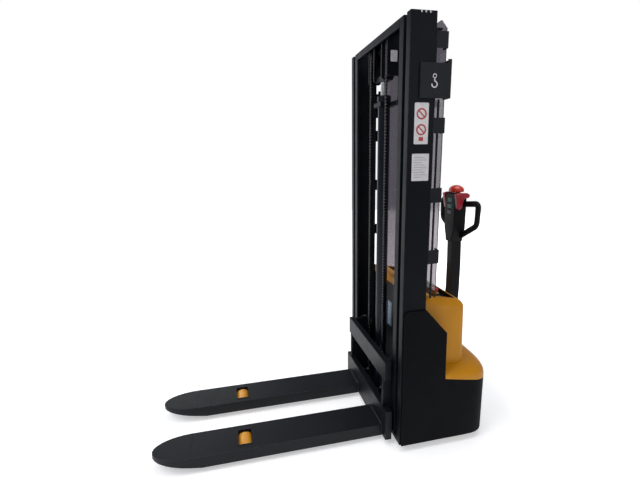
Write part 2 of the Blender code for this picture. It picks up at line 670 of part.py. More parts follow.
# ---------------------------------------------------------------- tiller
def tiller(drive):
    lug_in, lug_out, lug_r = ARM_HALF_WIDTH + 0.001, ARM_HALF_WIDTH + 0.010, 0.022
    y, z = PIVOT.y, PIVOT.z
    lug = [(y + lug_r * math.cos(a), z + lug_r * math.sin(a)) for a in
           [k * math.pi / 10 for k in range(11)]] + [(y - lug_r, 0.445), (y + lug_r, 0.445)]
    foot = rounded([(-lug_out, STEER_Y - 0.040), (lug_out, STEER_Y - 0.040), (lug_out, y + lug_r),
                    (-lug_out, y + lug_r)], 0.008, 3)
    piece("tiller_yoke", "cast_iron", drive,
          prism("Z", foot, 0.436 + GAP, 0.450),
          (ADD, prism("X", lug, -lug_out, -lug_in)),
          (ADD, prism("X", lug, lug_in, lug_out)),
          (ADD, rod(0.008, PIVOT, "X", -lug_out - 0.004, lug_out + 0.004, 20)))

    arm_frame = frame_at("tiller_pivot", PIVOT, drive)
    heel = [(y + lug_r * math.cos(a), z + lug_r * math.sin(a)) for a in
            [math.pi + k * math.pi / 10 for k in range(11)]]
    arm = heel + [(0.574, 0.590), (0.578, 0.700), (0.578, 0.850), (0.574, HEAD_BOTTOM),
                  (0.516, HEAD_BOTTOM), (0.519, 0.850), (0.519, 0.700), (0.514, 0.590)]
    piece("tiller_arm", "cover_black", arm_frame,
          prism("X", arm, -ARM_HALF_WIDTH, ARM_HALF_WIDTH),
          (CUT, rod(0.008 + GAP, PIVOT, "X", -0.050, 0.050, 20)))
    return arm_frame


def head_outline(grow=0.0):
    right = [(0.030 + grow, HEAD_BOTTOM + GAP), (0.036 + grow, 1.015), (0.050 + grow, 1.062),
             (0.051 + grow, 1.238), (0.042 + grow, HEAD_TOP)]
    return right + [(-x, z) for x, z in reversed(right)]


def handle_head(arm):
    body = prism("Y", head_outline(), HEAD_FRONT, HEAD_REAR)
    edges = [edge for edge in body.edges if abs(edge.verts[0].co.y - edge.verts[1].co.y) < 1e-6]
    edges = [edge for edge in edges if max(v.co.z for v in edge.verts) > HEAD_BOTTOM + 0.002]
    bmesh.ops.bevel(body, geom=edges, offset=0.006, segments=3, affect="EDGES", profile=0.5)
    steps = [(CUT, block((-BUTTON_HALF[0] - 0.0005, HEAD_FRONT - 0.01, z - BUTTON_HALF[1] - 0.0005),
                         (BUTTON_HALF[0] + 0.0005, HEAD_FRONT + 0.008, z + BUTTON_HALF[1] + 0.0005)))
             for z, _, _ in BUTTONS]
    steps.append((CUT, rod(0.008 + GAP, THROTTLE, "X", -0.1, 0.1, 20)))
    steps.append((CUT, block((-0.0205, 0.526, HEAD_TOP - 0.014), (0.0205, 0.5555, HEAD_TOP + 0.01))))
    piece("handle_head", "cover_black", arm, body, *steps)


def handle_loop(arm, label, side):
    corners = [(0.030, 1.198), (0.176, 1.214), (0.170, 1.096), (0.022, 1.012)]
    path = rounded(corners, [0, 0.020, 0.038, 0], 6)
    path = [(side * x, z) for x, z in path]
    piece(f"handle_loop_{label}", "cover_black", arm,
          swept(path, 0.0160, 0.0130, 0.565, 14),
          (CUT, prism("Y", head_outline(GAP), 0.500, 0.600)))


def throttle(arm):
    body = frame_at("throttle_axis", THROTTLE, arm)
    wing = [(0.497, 1.257), (0.520, 1.263), (0.568, 1.262), (0.583, 1.252), (0.578, 1.236),
            (0.548, 1.229), (0.541, 1.200), (0.534, 1.178), (0.522, 1.170), (0.510, 1.178),
            (0.505, 1.215)]
    inner, outer = 0.0525, 0.074
    pads = []
    for side in (-1, 1):
        pad = prism("X", wing, *span(side, inner, outer))
        rim = [edge for edge in pad.edges if all(abs(abs(v.co.x) - outer) < 1e-6 for v in edge.verts)]
        bmesh.ops.bevel(pad, geom=rim, offset=0.006, segments=3, affect="EDGES", profile=0.5)
        pads.append((ADD, pad))
    piece("throttle", "crimson_plastic", body, rod(0.008, THROTTLE, "X", -0.060, 0.060, 20), *pads)


def belly_button(arm):
    body = frame_at("belly_frame", (0, 0.541, 1.266), arm)
    radius, low, height, squash = 0.049, 1.2665, 0.037, 0.78
    rise = [(radius * math.cos(a), low + 0.006 + (height - 0.006) * math.sin(a))
            for a in [k * math.pi / 12 for k in range(6)]]
    dome = lathe([(0, low), (radius - 0.002, low)] + rise + [(0, low + height)],
                 (0, 0.541, 0), "Z", 28, squash)
    piece("belly_button", "red_plastic", body, dome,
          (ADD, block((-0.020, 0.5265, HEAD_TOP - 0.004), (0.020, 0.555, low + 0.004))))


def head_button(arm, z, name, look):
    body = frame_at(f"{name}_frame", (0, HEAD_FRONT, z), arm)
    half_x, half_z = BUTTON_HALF
    cap = block((-half_x, HEAD_FRONT - 0.003, z - half_z), (half_x, HEAD_FRONT + 0.005, z + half_z))
    rim = [edge for edge in cap.edges if all(v.co.y < HEAD_FRONT for v in edge.verts)]
    bmesh.ops.bevel(cap, geom=rim, offset=0.002, segments=2, affect="EDGES", profile=0.5)
    piece(name, look, body, cap)


# ---------------------------------------------------------------- inner mast
def inner_rail(mast, label, side):
    pin = span(side, INNER_RAIL[1] - 0.004, 0.374)
    piece(f"inner_mast_rail_{label}", "frame_paint", mast,
          prism("Z", channel_outline(*INNER_RAIL, side), INNER_RAIL_BOTTOM, MAST_HEIGHT),
          (ADD, rod(PIN_R, (0, RAIL_MID, MAST_ROLLER_Z), "X", *pin, 24)))


def inner_beams(mast):
    half = INNER_RAIL[0] - GAP
    piece("inner_mast_top_beam", "frame_paint", mast,
          block((-half, RAIL_FRONT, 2.005), (half, RAIL_FRONT + 0.010, MAST_HEIGHT)),
          (ADD, block((-half, RAIL_FRONT, MAST_HEIGHT - 0.010), (half, 0.130, MAST_HEIGHT))))
    piece("inner_mast_bottom_beam", "frame_paint", mast,
          block((-half, 0.137, 0.070), (half, RAIL_REAR, 0.130)))


def lift_rod(mast):
    piston = CYLINDER_BORE - GAP
    low, high = 0.240, 0.280
    profile = [(0, low), (piston, low), (piston, high), (ROD_R, high), (ROD_R, ROD_TOP), (0, ROD_TOP)]
    piece("lift_rod", "polished_steel", mast, lathe(profile, (0, CYLINDER_Y, 0), "Z", 28))


def crosshead(mast):
    top = MAST_HEIGHT - 0.010 - GAP
    plate_low, plate_high = 0.046, 0.056
    outer_low, outer_high = CHAIN_X + 0.0135, CHAIN_X + 0.0215
    front, rear = RAIL_FRONT + 0.011, 0.128
    outline = rounded([(front, 1.842), (rear, 1.842), (rear, top), (front, top)], [0.012, 0.012, 0, 0], 4)
    end, cap, collar, thick = CHAIN_X + 0.018, CHAIN_X + 0.0125, CHAIN_X - 0.0125, AXLE_R + 0.005
    axle = [(0, -end), (thick, -end), (thick, -cap), (AXLE_R, -cap), (AXLE_R, -collar), (thick, -collar)]
    axle += [(r, -x) for r, x in reversed(axle)]
    tie = plate_low + 0.004
    piece("crosshead", "frame_paint", mast,
          prism("X", outline, plate_low, plate_high),
          (ADD, block((-tie, 0.074, ROD_TOP + GAP), (tie, 0.124, ROD_TOP + 0.024))),
          (ADD, block((-tie, 0.072, top - 0.008), (tie, rear - 0.002, top - 0.0005))),
          (ADD, prism("X", outline, -plate_high, -plate_low)),
          (ADD, prism("X", outline, -outer_high, -outer_low)),
          (ADD, prism("X", outline, outer_low, outer_high)),
          (ADD, block((-outer_high + 0.001, 0.074, top - 0.005), (outer_high - 0.001, 0.122, top - 0.001))),
          (ADD, lathe(axle, (0, CYLINDER_Y, PULLEY_Z), "X", 24)))


def chain_pulley(mast, label, side):
    centre = (side * CHAIN_X, CYLINDER_Y, PULLEY_Z)
    body = frame_at(f"pulley_{label}_axle", centre, mast)
    half, lip = 0.012, 0.0088
    profile = [(AXLE_R + GAP, -half), (PULLEY_R, -half), (PULLEY_R, -lip - 0.001), (PULLEY_GROOVE_R, -lip),
               (PULLEY_GROOVE_R, lip), (PULLEY_R, lip + 0.001), (PULLEY_R, half), (AXLE_R + GAP, half)]
    piece(f"chain_pulley_{label}", "bare_steel", body, lathe(profile, centre, "X", 24))


def lift_chain(mast, label, side):
    """Leaf chain from the carriage lug, over the pulley, down to its anchor."""
    inner, outer = CHAIN_INNER_R, CHAIN_INNER_R + CHAIN_T
    turns = [math.pi - k * math.pi / 18 for k in range(19)]
    low, anchor = LUG_TOP + GAP, ANCHOR_TOP + GAP
    line = [(CYLINDER_Y - outer, low)]
    line += [(CYLINDER_Y + outer * math.cos(a), PULLEY_Z + outer * math.sin(a)) for a in turns]
    line += [(CYLINDER_Y + outer, anchor), (CYLINDER_Y + inner, anchor)]
    line += [(CYLINDER_Y + inner * math.cos(a), PULLEY_Z + inner * math.sin(a)) for a in reversed(turns)]
    line += [(CYLINDER_Y - inner, low)]
    middle = side * CHAIN_X
    piece(f"lift_chain_{label}", "chain_steel", mast,
          prism("X", line, middle - CHAIN_W / 2, middle + CHAIN_W / 2))


def roller(parent, name, x_start, x_end, z):
    centre = ((x_start + x_end) / 2, RAIL_MID, z)
    body = frame_at(f"{name}_axle", centre, parent)
    half = abs(x_end - x_start) / 2
    profile = [(PIN_R + GAP, -half), (ROLLER_R - 0.003, -half), (ROLLER_R, -half + 0.003),
               (ROLLER_R, half - 0.003), (ROLLER_R - 0.003, half), (PIN_R + GAP, half)]
    piece(name, "bare_steel", body, lathe(profile, centre, "X", 24))


# ---------------------------------------------------------------- carriage
def carriage_frame(carriage):
    plate_half, bar_half = 0.330, 0.300
    notch_top = LEG_TOP + 0.007
    low_side, high_side = 0.255, 0.275
    steps = []
    for side in (-1, 1):
        steps.append((CUT, block(*mirrored((LEG_INNER - 0.008, -0.01, 0.0),
                                           (LEG_OUTER + 0.008, 0.05, notch_top), side))))
    bar_front, bar_rear = CARRIAGE_BAR
    steps.append((ADD, block((-bar_half, bar_front, 0.350), (bar_half, bar_rear, 0.450))))
    cheek = rounded([(0.010, notch_top), (0.128, notch_top), (0.134, 0.462), (0.010, 0.450)],
                    [0, 0.020, 0.020, 0], 3)
    gusset = [(bar_front, 0.440), (bar_rear - 0.001, 0.440), (bar_rear - 0.001, 0.350), (0.026, 0.300),
              (0.026, 0.185), (bar_front, 0.185)]
    for side in (-1, 1):
        steps.append((ADD, prism("X", cheek, *span(side, low_side, high_side))))
        steps.append((ADD, prism("X", gusset, *span(side, 0.262, 0.274))))
        for z in CARRIAGE_ROLLER_Z:
            pin = rod(PIN_R, (0, RAIL_MID, z), "X", *span(side, high_side - 0.004, 0.3125), 24)
            steps.append((ADD, pin))
        steps.append((ADD, block(*mirrored((CHAIN_X - 0.011, CARRIAGE_PLATE - 0.002, LUG_TOP - 0.032),
                                           (CHAIN_X + 0.011, 0.074, LUG_TOP), side))))
    piece("carriage_frame", "frame_paint", carriage,
          block((-plate_half, 0.0, 0.030), (plate_half, CARRIAGE_PLATE, 0.190)), *steps)


def fork(carriage, label, side):
    middle, half = side * WHEEL_X, (FORK_OUTER - FORK_INNER) / 2
    nose = FORK_LENGTH - FORK_NOSE_START
    steps_round = 14
    outline = [(middle + half, -GAP)]
    for k in range(steps_round + 1):
        angle = k * math.pi / steps_round
        outline.append((middle + half * math.cos(angle), -FORK_NOSE_START - nose * math.sin(angle)))
    outline.append((middle - half, -GAP))
    inner = half - FORK_PLATE
    ramp = [(-FORK_NOSE_START + 0.060, FORK_BOTTOM - 0.001), (-FORK_LENGTH - 0.010, FORK_BOTTOM - 0.001),
            (-FORK_LENGTH - 0.010, FORK_TOP - FORK_TIP_THICKNESS), (-FORK_LENGTH + 0.040, 0.060)]
    window_x, window_y = WINDOW[0] / 2, WINDOW[1] / 2
    opening = rounded([(middle - window_x, WHEEL_Y - window_y), (middle + window_x, WHEEL_Y - window_y),
                       (middle + window_x, WHEEL_Y + window_y), (middle - window_x, WHEEL_Y + window_y)],
                      0.008, 3)
    piece(f"fork_{label}", "frame_paint", carriage,
          prism("Z", outline, FORK_BOTTOM, FORK_TOP),
          (CUT, block((middle - inner, -FORK_NOSE_START + 0.012, 0.0),
                      (middle + inner, 0.05, FORK_TOP - FORK_PLATE))),
          (CUT, prism("X", ramp, middle - 0.1, middle + 0.1)),
          (CUT, prism("Z", opening, FORK_TOP - 0.02, FORK_TOP + 0.02)))


# ---------------------------------------------------------------- the truck
def build():
    clear_scene()
    root = frame_at("walkie_stacker", (0, 0, 0))
    root.location.y = (FORK_LENGTH - REAR) / 2
    inner_mast = frame_at("inner_mast", (0, 0, 0), root)
    carriage = frame_at("carriage", (0, 0, 0), inner_mast)

    base_frame(root)
    outer_top_beam(root)
    rear_cover(root)
    control_panel(root)
    estop_button(root)
    key_switch(root)
    mast_guard(root)
    cylinder_barrel(root)
    chain_anchor_bracket(root)
    hydraulic_power_unit(root)
    inner_beams(inner_mast)
    lift_rod(inner_mast)
    crosshead(inner_mast)
    carriage_frame(carriage)
    for label, side in SIDES:
        support_leg(root, label, side)
        outer_rail(root, label, side)
        side_cover(root, label, side)
        guard_bracket(root, label, side)
        lifting_bracket(root, label, side)
        battery(root, label, side)
        load_wheel(root, label, side)
        caster(root, label, side)
        inner_rail(inner_mast, label, side)
        chain_pulley(inner_mast, label, side)
        lift_chain(inner_mast, label, side)
        roller(inner_mast, f"mast_roller_{label}", side * 0.341, side * 0.372, MAST_ROLLER_Z)
        fork(carriage, label, side)
        for height, z in zip(("lower", "upper"), CARRIAGE_ROLLER_Z):
            roller(carriage, f"carriage_roller_{height}_{label}", side * 0.285, side * 0.311, z)

    drive = drive_head(root)
    arm = tiller(drive)
    handle_head(arm)
    throttle(arm)
    belly_button(arm)
    for z, name, look in BUTTONS:
        head_button(arm, z, name, look)
    for label, side in SIDES:
        handle_loop(arm, label, side)


build()
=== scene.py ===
import bpy
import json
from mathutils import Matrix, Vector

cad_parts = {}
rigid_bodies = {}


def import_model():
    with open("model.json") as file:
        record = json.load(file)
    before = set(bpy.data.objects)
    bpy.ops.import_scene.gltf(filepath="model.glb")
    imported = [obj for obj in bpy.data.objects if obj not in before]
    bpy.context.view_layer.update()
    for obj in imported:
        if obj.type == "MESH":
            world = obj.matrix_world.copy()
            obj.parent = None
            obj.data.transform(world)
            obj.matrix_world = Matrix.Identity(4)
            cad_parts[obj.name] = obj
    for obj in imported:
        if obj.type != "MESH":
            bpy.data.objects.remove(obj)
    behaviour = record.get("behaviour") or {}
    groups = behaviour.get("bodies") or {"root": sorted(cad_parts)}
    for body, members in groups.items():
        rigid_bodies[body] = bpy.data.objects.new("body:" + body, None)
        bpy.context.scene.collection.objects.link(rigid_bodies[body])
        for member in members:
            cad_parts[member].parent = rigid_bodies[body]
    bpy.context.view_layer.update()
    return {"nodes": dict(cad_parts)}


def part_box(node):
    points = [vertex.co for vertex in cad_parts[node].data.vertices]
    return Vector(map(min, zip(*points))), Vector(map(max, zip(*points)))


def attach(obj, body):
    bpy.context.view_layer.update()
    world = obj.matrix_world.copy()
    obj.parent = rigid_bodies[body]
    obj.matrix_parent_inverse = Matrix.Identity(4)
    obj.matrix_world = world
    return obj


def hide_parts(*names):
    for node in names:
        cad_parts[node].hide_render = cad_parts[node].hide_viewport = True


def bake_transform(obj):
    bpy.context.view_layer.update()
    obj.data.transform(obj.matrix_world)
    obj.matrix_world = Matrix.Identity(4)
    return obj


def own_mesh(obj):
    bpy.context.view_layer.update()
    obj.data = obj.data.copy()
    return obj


for thing in list(bpy.data.objects):
    bpy.data.objects.remove(thing, do_unlink=True)

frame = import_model()

import json
import math

import bmesh
from mathutils import Matrix, Vector

NODES = frame["nodes"]
SIDES = (("left", -1), ("right", 1))

# Reference places, read from the frame
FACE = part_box("carriage_frame")[0].y                 # front face of the fork plate
MAST_FRONT, MAST_REAR = (corner.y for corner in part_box("outer_mast_rail_right"))
MAST_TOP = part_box("outer_mast_rail_right")[1].z
RAIL_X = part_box("outer_mast_rail_right")[1].x        # outer face of the right rail
BODY_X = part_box("side_cover_right")[1].x
CHAIN_X = sum(corner.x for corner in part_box("lift_chain_right")) / 2
PULLEY = sum(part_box("chain_pulley_right"), Vector()) / 2
CHAIN_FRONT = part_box("lift_chain_right")[0].y + 0.004
CHAIN_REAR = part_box("lift_chain_right")[1].y - 0.004
CHAIN_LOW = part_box("lift_chain_right")[0].z
ANCHOR_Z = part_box("chain_anchor_bracket")[1].z
WHEEL = sum(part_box("load_wheel_right"), Vector()) / 2
WHEEL_R = (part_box("load_wheel_right")[1].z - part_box("load_wheel_right")[0].z) / 2
WHEEL_HALF = (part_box("load_wheel_right")[1].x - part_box("load_wheel_right")[0].x) / 2
FORK_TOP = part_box("fork_right")[1].z
GUARD_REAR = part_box("mast_guard")[1].y


# Sloping top of the rear cover: height at its front, fall to the rear, length of the slope
COLUMN_TOP, COLUMN_DROP, COLUMN_DEPTH = 0.795, 0.050, 0.253


# ---------------------------------------------------------------- materials
class Look:
    """A Principled material with short ways to add its texture nodes."""

    def __init__(self, name, roughness, metallic=0.0, specular=0.5, coat=0.0, coat_roughness=0.1):
        self.material = bpy.data.materials.new(name)
        self.material.use_nodes = True
        self.tree = self.material.node_tree
        self.shader = self.tree.nodes["Principled BSDF"]
        self.coords = self.node("ShaderNodeTexCoord").outputs["Object"]
        self.set("Roughness", roughness)
        self.set("Metallic", metallic)
        self.set("Specular IOR Level", specular)
        self.set("Coat Weight", coat)
        self.set("Coat Roughness", coat_roughness)

    def node(self, kind, **settings):
        made = self.tree.nodes.new(kind)
        for key, value in settings.items():
            setattr(made, key, value)
        return made

    def set(self, socket, value):
        if hasattr(value, "is_output"):
            self.tree.links.new(value, self.shader.inputs[socket])
        else:
            self.shader.inputs[socket].default_value = value

    def join(self, source, socket):
        if hasattr(source, "is_output"):
            self.tree.links.new(source, socket)
        else:
            socket.default_value = source

    def noise(self, scale, detail=3.0, stretch=(1, 1, 1), rough=0.5):
        """Noise in the object's own metres; stretch squeezes it along an axis."""
        coords = self.coords
        if tuple(stretch) != (1, 1, 1):
            mapping = self.node("ShaderNodeMapping")
            mapping.inputs["Scale"].default_value = stretch
            self.join(coords, mapping.inputs["Vector"])
            coords = mapping.outputs["Vector"]
        noise = self.node("ShaderNodeTexNoise")
        noise.inputs["Scale"].default_value = scale
        noise.inputs["Detail"].default_value = detail
        noise.inputs["Roughness"].default_value = rough
        self.join(coords, noise.inputs["Vector"])
        return noise.outputs["Fac"]

    def spread(self, value, low, high, new_low=0.0, new_high=1.0):
        ranged = self.node("ShaderNodeMapRange")
        limits = {"From Min": low, "From Max": high, "To Min": new_low, "To Max": new_high}
        for name, number in limits.items():
            ranged.inputs[name].default_value = number
        self.join(value, ranged.inputs["Value"])
        return ranged.outputs["Result"]

    def maths(self, operation, a, b):
        made = self.node("ShaderNodeMath", operation=operation, use_clamp=True)
        self.join(a, made.inputs[0])
        self.join(b, made.inputs[1])
        return made.outputs["Value"]

    def mix(self, factor, a, b):
        made = self.node("ShaderNodeMix", data_type="RGBA")
        self.join(factor, made.inputs["Factor"])
        self.join(a, made.inputs[6])
        self.join(b, made.inputs[7])
        return made.outputs[2]

    def blend(self, factor, a, b):
        made = self.node("ShaderNodeMix", data_type="FLOAT")
        self.join(factor, made.inputs["Factor"])
        self.join(a, made.inputs[2])
        self.join(b, made.inputs[3])
        return made.outputs[0]

    def edges(self):
        """One on worn convex edges, zero elsewhere."""
        geometry = self.node("ShaderNodeNewGeometry")
        wide = self.node("ShaderNodeBevel", samples=3)
        wide.inputs["Radius"].default_value = 0.0035
        turn = self.node("ShaderNodeVectorMath", operation="DOT_PRODUCT")
        self.join(geometry.outputs["True Normal"], turn.inputs[0])
        self.join(wide.outputs["Normal"], turn.inputs[1])
        edge = self.spread(turn.outputs["Value"], 0.985, 0.90)
        return self.maths("MULTIPLY", edge, self.spread(self.noise(70, 4), 0.42, 0.62))

    def bump(self, *layers):
        """Layers of (height value, distance in metres)."""
        normal = None
        for value, distance in layers:
            bump = self.node("ShaderNodeBump")
            bump.inputs["Strength"].default_value = 1.0
            bump.inputs["Distance"].default_value = distance
            self.join(value, bump.inputs["Height"])
            if normal is not None:
                self.join(normal, bump.inputs["Normal"])
            normal = bump.outputs["Normal"]
        self.set("Normal", normal)


def rgb(red, green, blue):
    """A display colour (0-255) as linear colour."""
    def linear(value):
        value /= 255
        return value / 12.92 if value <= 0.04045 else ((value + 0.055) / 1.055) ** 2.4
    return linear(red), linear(green), linear(blue), 1.0


def coated(name, colour, tint, roughness, peel, peel_depth, worn=None, worn_roughness=0.35,
           scuff=None, specular=0.2, coat=0.0, smudge=0.04):
    """Paint or moulded plastic: uneven colour and gloss, a fine surface, worn edges and scuffs."""
    look = Look(name, roughness, specular=specular, coat=coat)
    colours = look.mix(look.spread(look.noise(4.0, 5), 0.35, 0.68), colour, tint)
    gloss = look.spread(look.noise(17, 5, rough=0.6), 0.3, 0.7, roughness - smudge, roughness + smudge)
    if scuff:
        stretch, amount, light = scuff
        lines = look.spread(look.noise(1.0, 6, stretch, 0.65), 0.62, 0.74, 0.0, amount)
        lines = look.maths("MULTIPLY", lines, look.spread(look.noise(6.0, 3), 0.45, 0.65))
        colours = look.mix(lines, colours, light)
        gloss = look.blend(lines, gloss, 0.55)
    if worn:
        edge = look.edges()
        colours = look.mix(edge, colours, worn)
        gloss = look.blend(edge, gloss, worn_roughness)
    look.set("Base Color", colours)
    look.set("Roughness", gloss)
    look.bump((look.noise(peel, 2), peel_depth), (look.noise(9.0, 2), 0.0004))
    return look.material


def metal(name, colour, tint, roughness, grain_scale, grain, grime=rgb(36, 33, 30), specular=0.5):
    """Bare or plated metal with directional grain, uneven gloss and grime."""
    look = Look(name, roughness, metallic=1.0, specular=specular)
    dirt = look.spread(look.noise(26, 6, rough=0.65), 0.52, 0.72, 0.0, 0.75)
    colours = look.mix(look.spread(look.noise(9, 4), 0.35, 0.65), colour, tint)
    look.set("Base Color", look.mix(dirt, colours, grime))
    look.set("Metallic", look.spread(dirt, 0.0, 1.0, 1.0, 0.4))
    lines = look.noise(grain_scale, 4, grain)
    look.set("Roughness", look.spread(lines, 0.3, 0.7, roughness - 0.08, roughness + 0.12))
    look.bump((lines, 0.00006))
    return look.material


def clear_sheet():
    look = Look("guard_polycarbonate", 0.06)
    haze = look.spread(look.noise(5, 5, (1, 1, 0.25)), 0.4, 0.75, 0.03, 0.16)
    scratches = look.spread(look.noise(1.0, 4, (900, 900, 40), 0.6), 0.66, 0.72, 0.0, 0.25)
    look.set("Base Color", rgb(172, 163, 168))
    look.set("Transmission Weight", 1.0)
    look.set("IOR", 1.45)
    look.set("Roughness", look.maths("ADD", haze, scratches))
    look.bump((look.noise(3.0, 2), 0.0012))
    return look.material


def polyurethane(name, colour, deep):
    look = Look(name, 0.36, coat=0.25, coat_roughness=0.2)
    mottle = look.mix(look.spread(look.noise(38, 5), 0.35, 0.7), colour, deep)
    marks = look.spread(look.noise(1.0, 5, (60, 700, 700), 0.6), 0.6, 0.75, 0.0, 0.5)
    look.set("Base Color", look.mix(marks, mottle, rgb(92, 62, 30)))
    look.set("Roughness", look.spread(marks, 0.0, 0.5, 0.34, 0.62))
    look.set("Subsurface Weight", 0.15)
    look.set("Subsurface Radius", (0.004, 0.002, 0.001))
    look.bump((look.noise(420, 3), 0.00012), (look.noise(55, 3), 0.0003))
    return look.material


def rubber():
    look = Look("tyre_rubber", 0.75, specular=0.35)
    dust = look.spread(look.noise(30, 6, rough=0.7), 0.45, 0.75, 0.0, 0.6)
    look.set("Base Color", look.mix(dust, rgb(26, 26, 27), rgb(74, 70, 66)))
    look.set("Roughness", look.spread(dust, 0.0, 0.6, 0.62, 0.9))
    look.bump((look.noise(600, 3), 0.0002))
    return look.material


def printed(name, colour, tint, roughness=0.35):
    """Label film: a faint grey mottle and a fine surface."""
    look = Look(name, roughness, coat=0.2)
    grey = look.spread(look.noise(45, 5, rough=0.6), 0.45, 0.75, 0.0, 0.8)
    look.set("Base Color", look.mix(grey, colour, tint))
    look.set("Roughness", look.spread(look.noise(120, 3), 0.3, 0.7, roughness - 0.06, roughness + 0.1))
    look.bump((look.noise(500, 2), 0.00004))
    return look.material


def glowless_screen():
    look = Look("display_glass", 0.08, coat=0.6, coat_roughness=0.03)
    mottle = look.spread(look.noise(200, 2), 0.4, 0.6)
    look.set("Base Color", look.mix(mottle, rgb(18, 22, 24), rgb(26, 32, 33)))
    look.set("Roughness", look.spread(look.noise(60, 4), 0.3, 0.7, 0.05, 0.14))
    return look.material


ALONG_Y, ALONG_Z, ALONG_X = (260, 7, 260), (260, 260, 6), (7, 260, 260)
BLACK, BLACK_TINT = rgb(14, 16, 20), rgb(19, 21, 26)

MATERIALS = {
    "mast_paint": coated("mast_paint", BLACK, BLACK_TINT, 0.40, 900, 0.00008, rgb(52, 54, 58), 0.4,
                         (ALONG_Z, 0.09, rgb(42, 44, 48)), 0.08),
    "fork_paint": coated("fork_paint", BLACK, BLACK_TINT, 0.43, 800, 0.00010, rgb(66, 67, 70), 0.4,
                         (ALONG_Y, 0.20, rgb(60, 61, 64))),
    "bracket_paint": coated("bracket_paint", rgb(18, 20, 24), BLACK_TINT, 0.42, 900, 0.00008,
                            rgb(50, 52, 56), 0.4,
                            (ALONG_X, 0.1, rgb(50, 52, 56))),
    "cover_texture": coated("cover_texture", rgb(11, 12, 14), rgb(16, 17, 19), 0.56, 1500, 0.00020,
                            rgb(34, 34, 37), 0.5, (ALONG_Y, 0.06, rgb(34, 34, 37)), 0.05),
    "moulding_yellow": coated("moulding_yellow", rgb(200, 136, 14), rgb(190, 127, 12), 0.38, 700, 0.00005,
                              rgb(212, 150, 52), 0.45, (ALONG_Y, 0.05, rgb(212, 152, 58)), 0.22, 0.04),
    "moulding_black": coated("moulding_black", rgb(17, 17, 19), rgb(23, 23, 25), 0.46, 1300, 0.00014,
                             rgb(40, 40, 42), 0.5, None, 0.12),
    "moulding_grey": coated("moulding_grey", rgb(112, 108, 122), rgb(100, 96, 110), 0.46, 1300, 0.00014),
    "moulding_teal": coated("moulding_teal", rgb(72, 130, 118), rgb(60, 116, 106), 0.42, 1300, 0.00012),
    "moulding_red": coated("moulding_red", rgb(220, 56, 24), rgb(204, 44, 22), 0.30, 900, 0.00006,
                           rgb(214, 84, 70), 0.4, None, 0.5, 0.25),
    "moulding_crimson": coated("moulding_crimson", rgb(172, 24, 38), rgb(150, 18, 34), 0.36, 900, 0.00008,
                               rgb(196, 78, 84), 0.4, None, 0.5, 0.2),
    "battery_case": coated("battery_case", rgb(66, 67, 72), rgb(56, 57, 62), 0.5, 1200, 0.00015),
    "cylinder_gloss": coated("cylinder_gloss", rgb(14, 17, 26), rgb(18, 21, 32), 0.22, 500, 0.00003,
                             rgb(52, 56, 66), 0.3, (ALONG_Z, 0.05, rgb(44, 48, 58)), 0.15, 0.12),
    "chrome_rod": metal("chrome_rod", rgb(205, 207, 210), rgb(188, 191, 196), 0.12, 1.0, (500, 500, 30),
                        rgb(120, 116, 108)),
    "zinc_steel": metal("zinc_steel", rgb(178, 178, 180), rgb(150, 150, 152), 0.34, 1.0, (700, 700, 90)),
    "oiled_chain": metal("oiled_chain", rgb(52, 51, 52), rgb(38, 38, 40), 0.40, 1.0, (900, 900, 300),
                         rgb(20, 19, 19)),
    "pulley_steel": metal("pulley_steel", rgb(66, 66, 70), rgb(50, 50, 54), 0.42, 1.0, (700, 700, 90),
                          rgb(24, 23, 22)),
    "cast_housing": metal("cast_housing", rgb(94, 94, 96), rgb(76, 76, 78), 0.55, 300, (1, 1, 1),
                          rgb(40, 37, 34)),
    "pump_alloy": metal("pump_alloy", rgb(150, 151, 154), rgb(128, 129, 132), 0.4, 1.0, (200, 600, 600)),
    "weld_metal": coated("weld_metal", rgb(19, 21, 25), rgb(27, 29, 34), 0.38, 1500, 0.00015,
                         rgb(54, 56, 60)),
    "tyre_amber": polyurethane("tyre_amber", rgb(226, 160, 44), rgb(206, 138, 30)),
    "tyre_black": rubber(),
    "clear_guard": clear_sheet(),
    "label_white": printed("label_white", rgb(206, 202, 202), rgb(182, 178, 178)),
    "label_red": printed("label_red", rgb(168, 40, 44), rgb(146, 34, 38)),
    "label_ink": printed("label_ink", rgb(158, 156, 160), rgb(176, 174, 178)),
    "label_yellow": printed("label_yellow", rgb(222, 186, 60), rgb(206, 170, 52)),
    "label_blue": printed("label_blue", rgb(150, 176, 204), rgb(128, 152, 180)),
    "display_glass": glowless_screen(),
    "display_mark": printed("display_mark", rgb(120, 190, 110), rgb(96, 160, 90)),
}


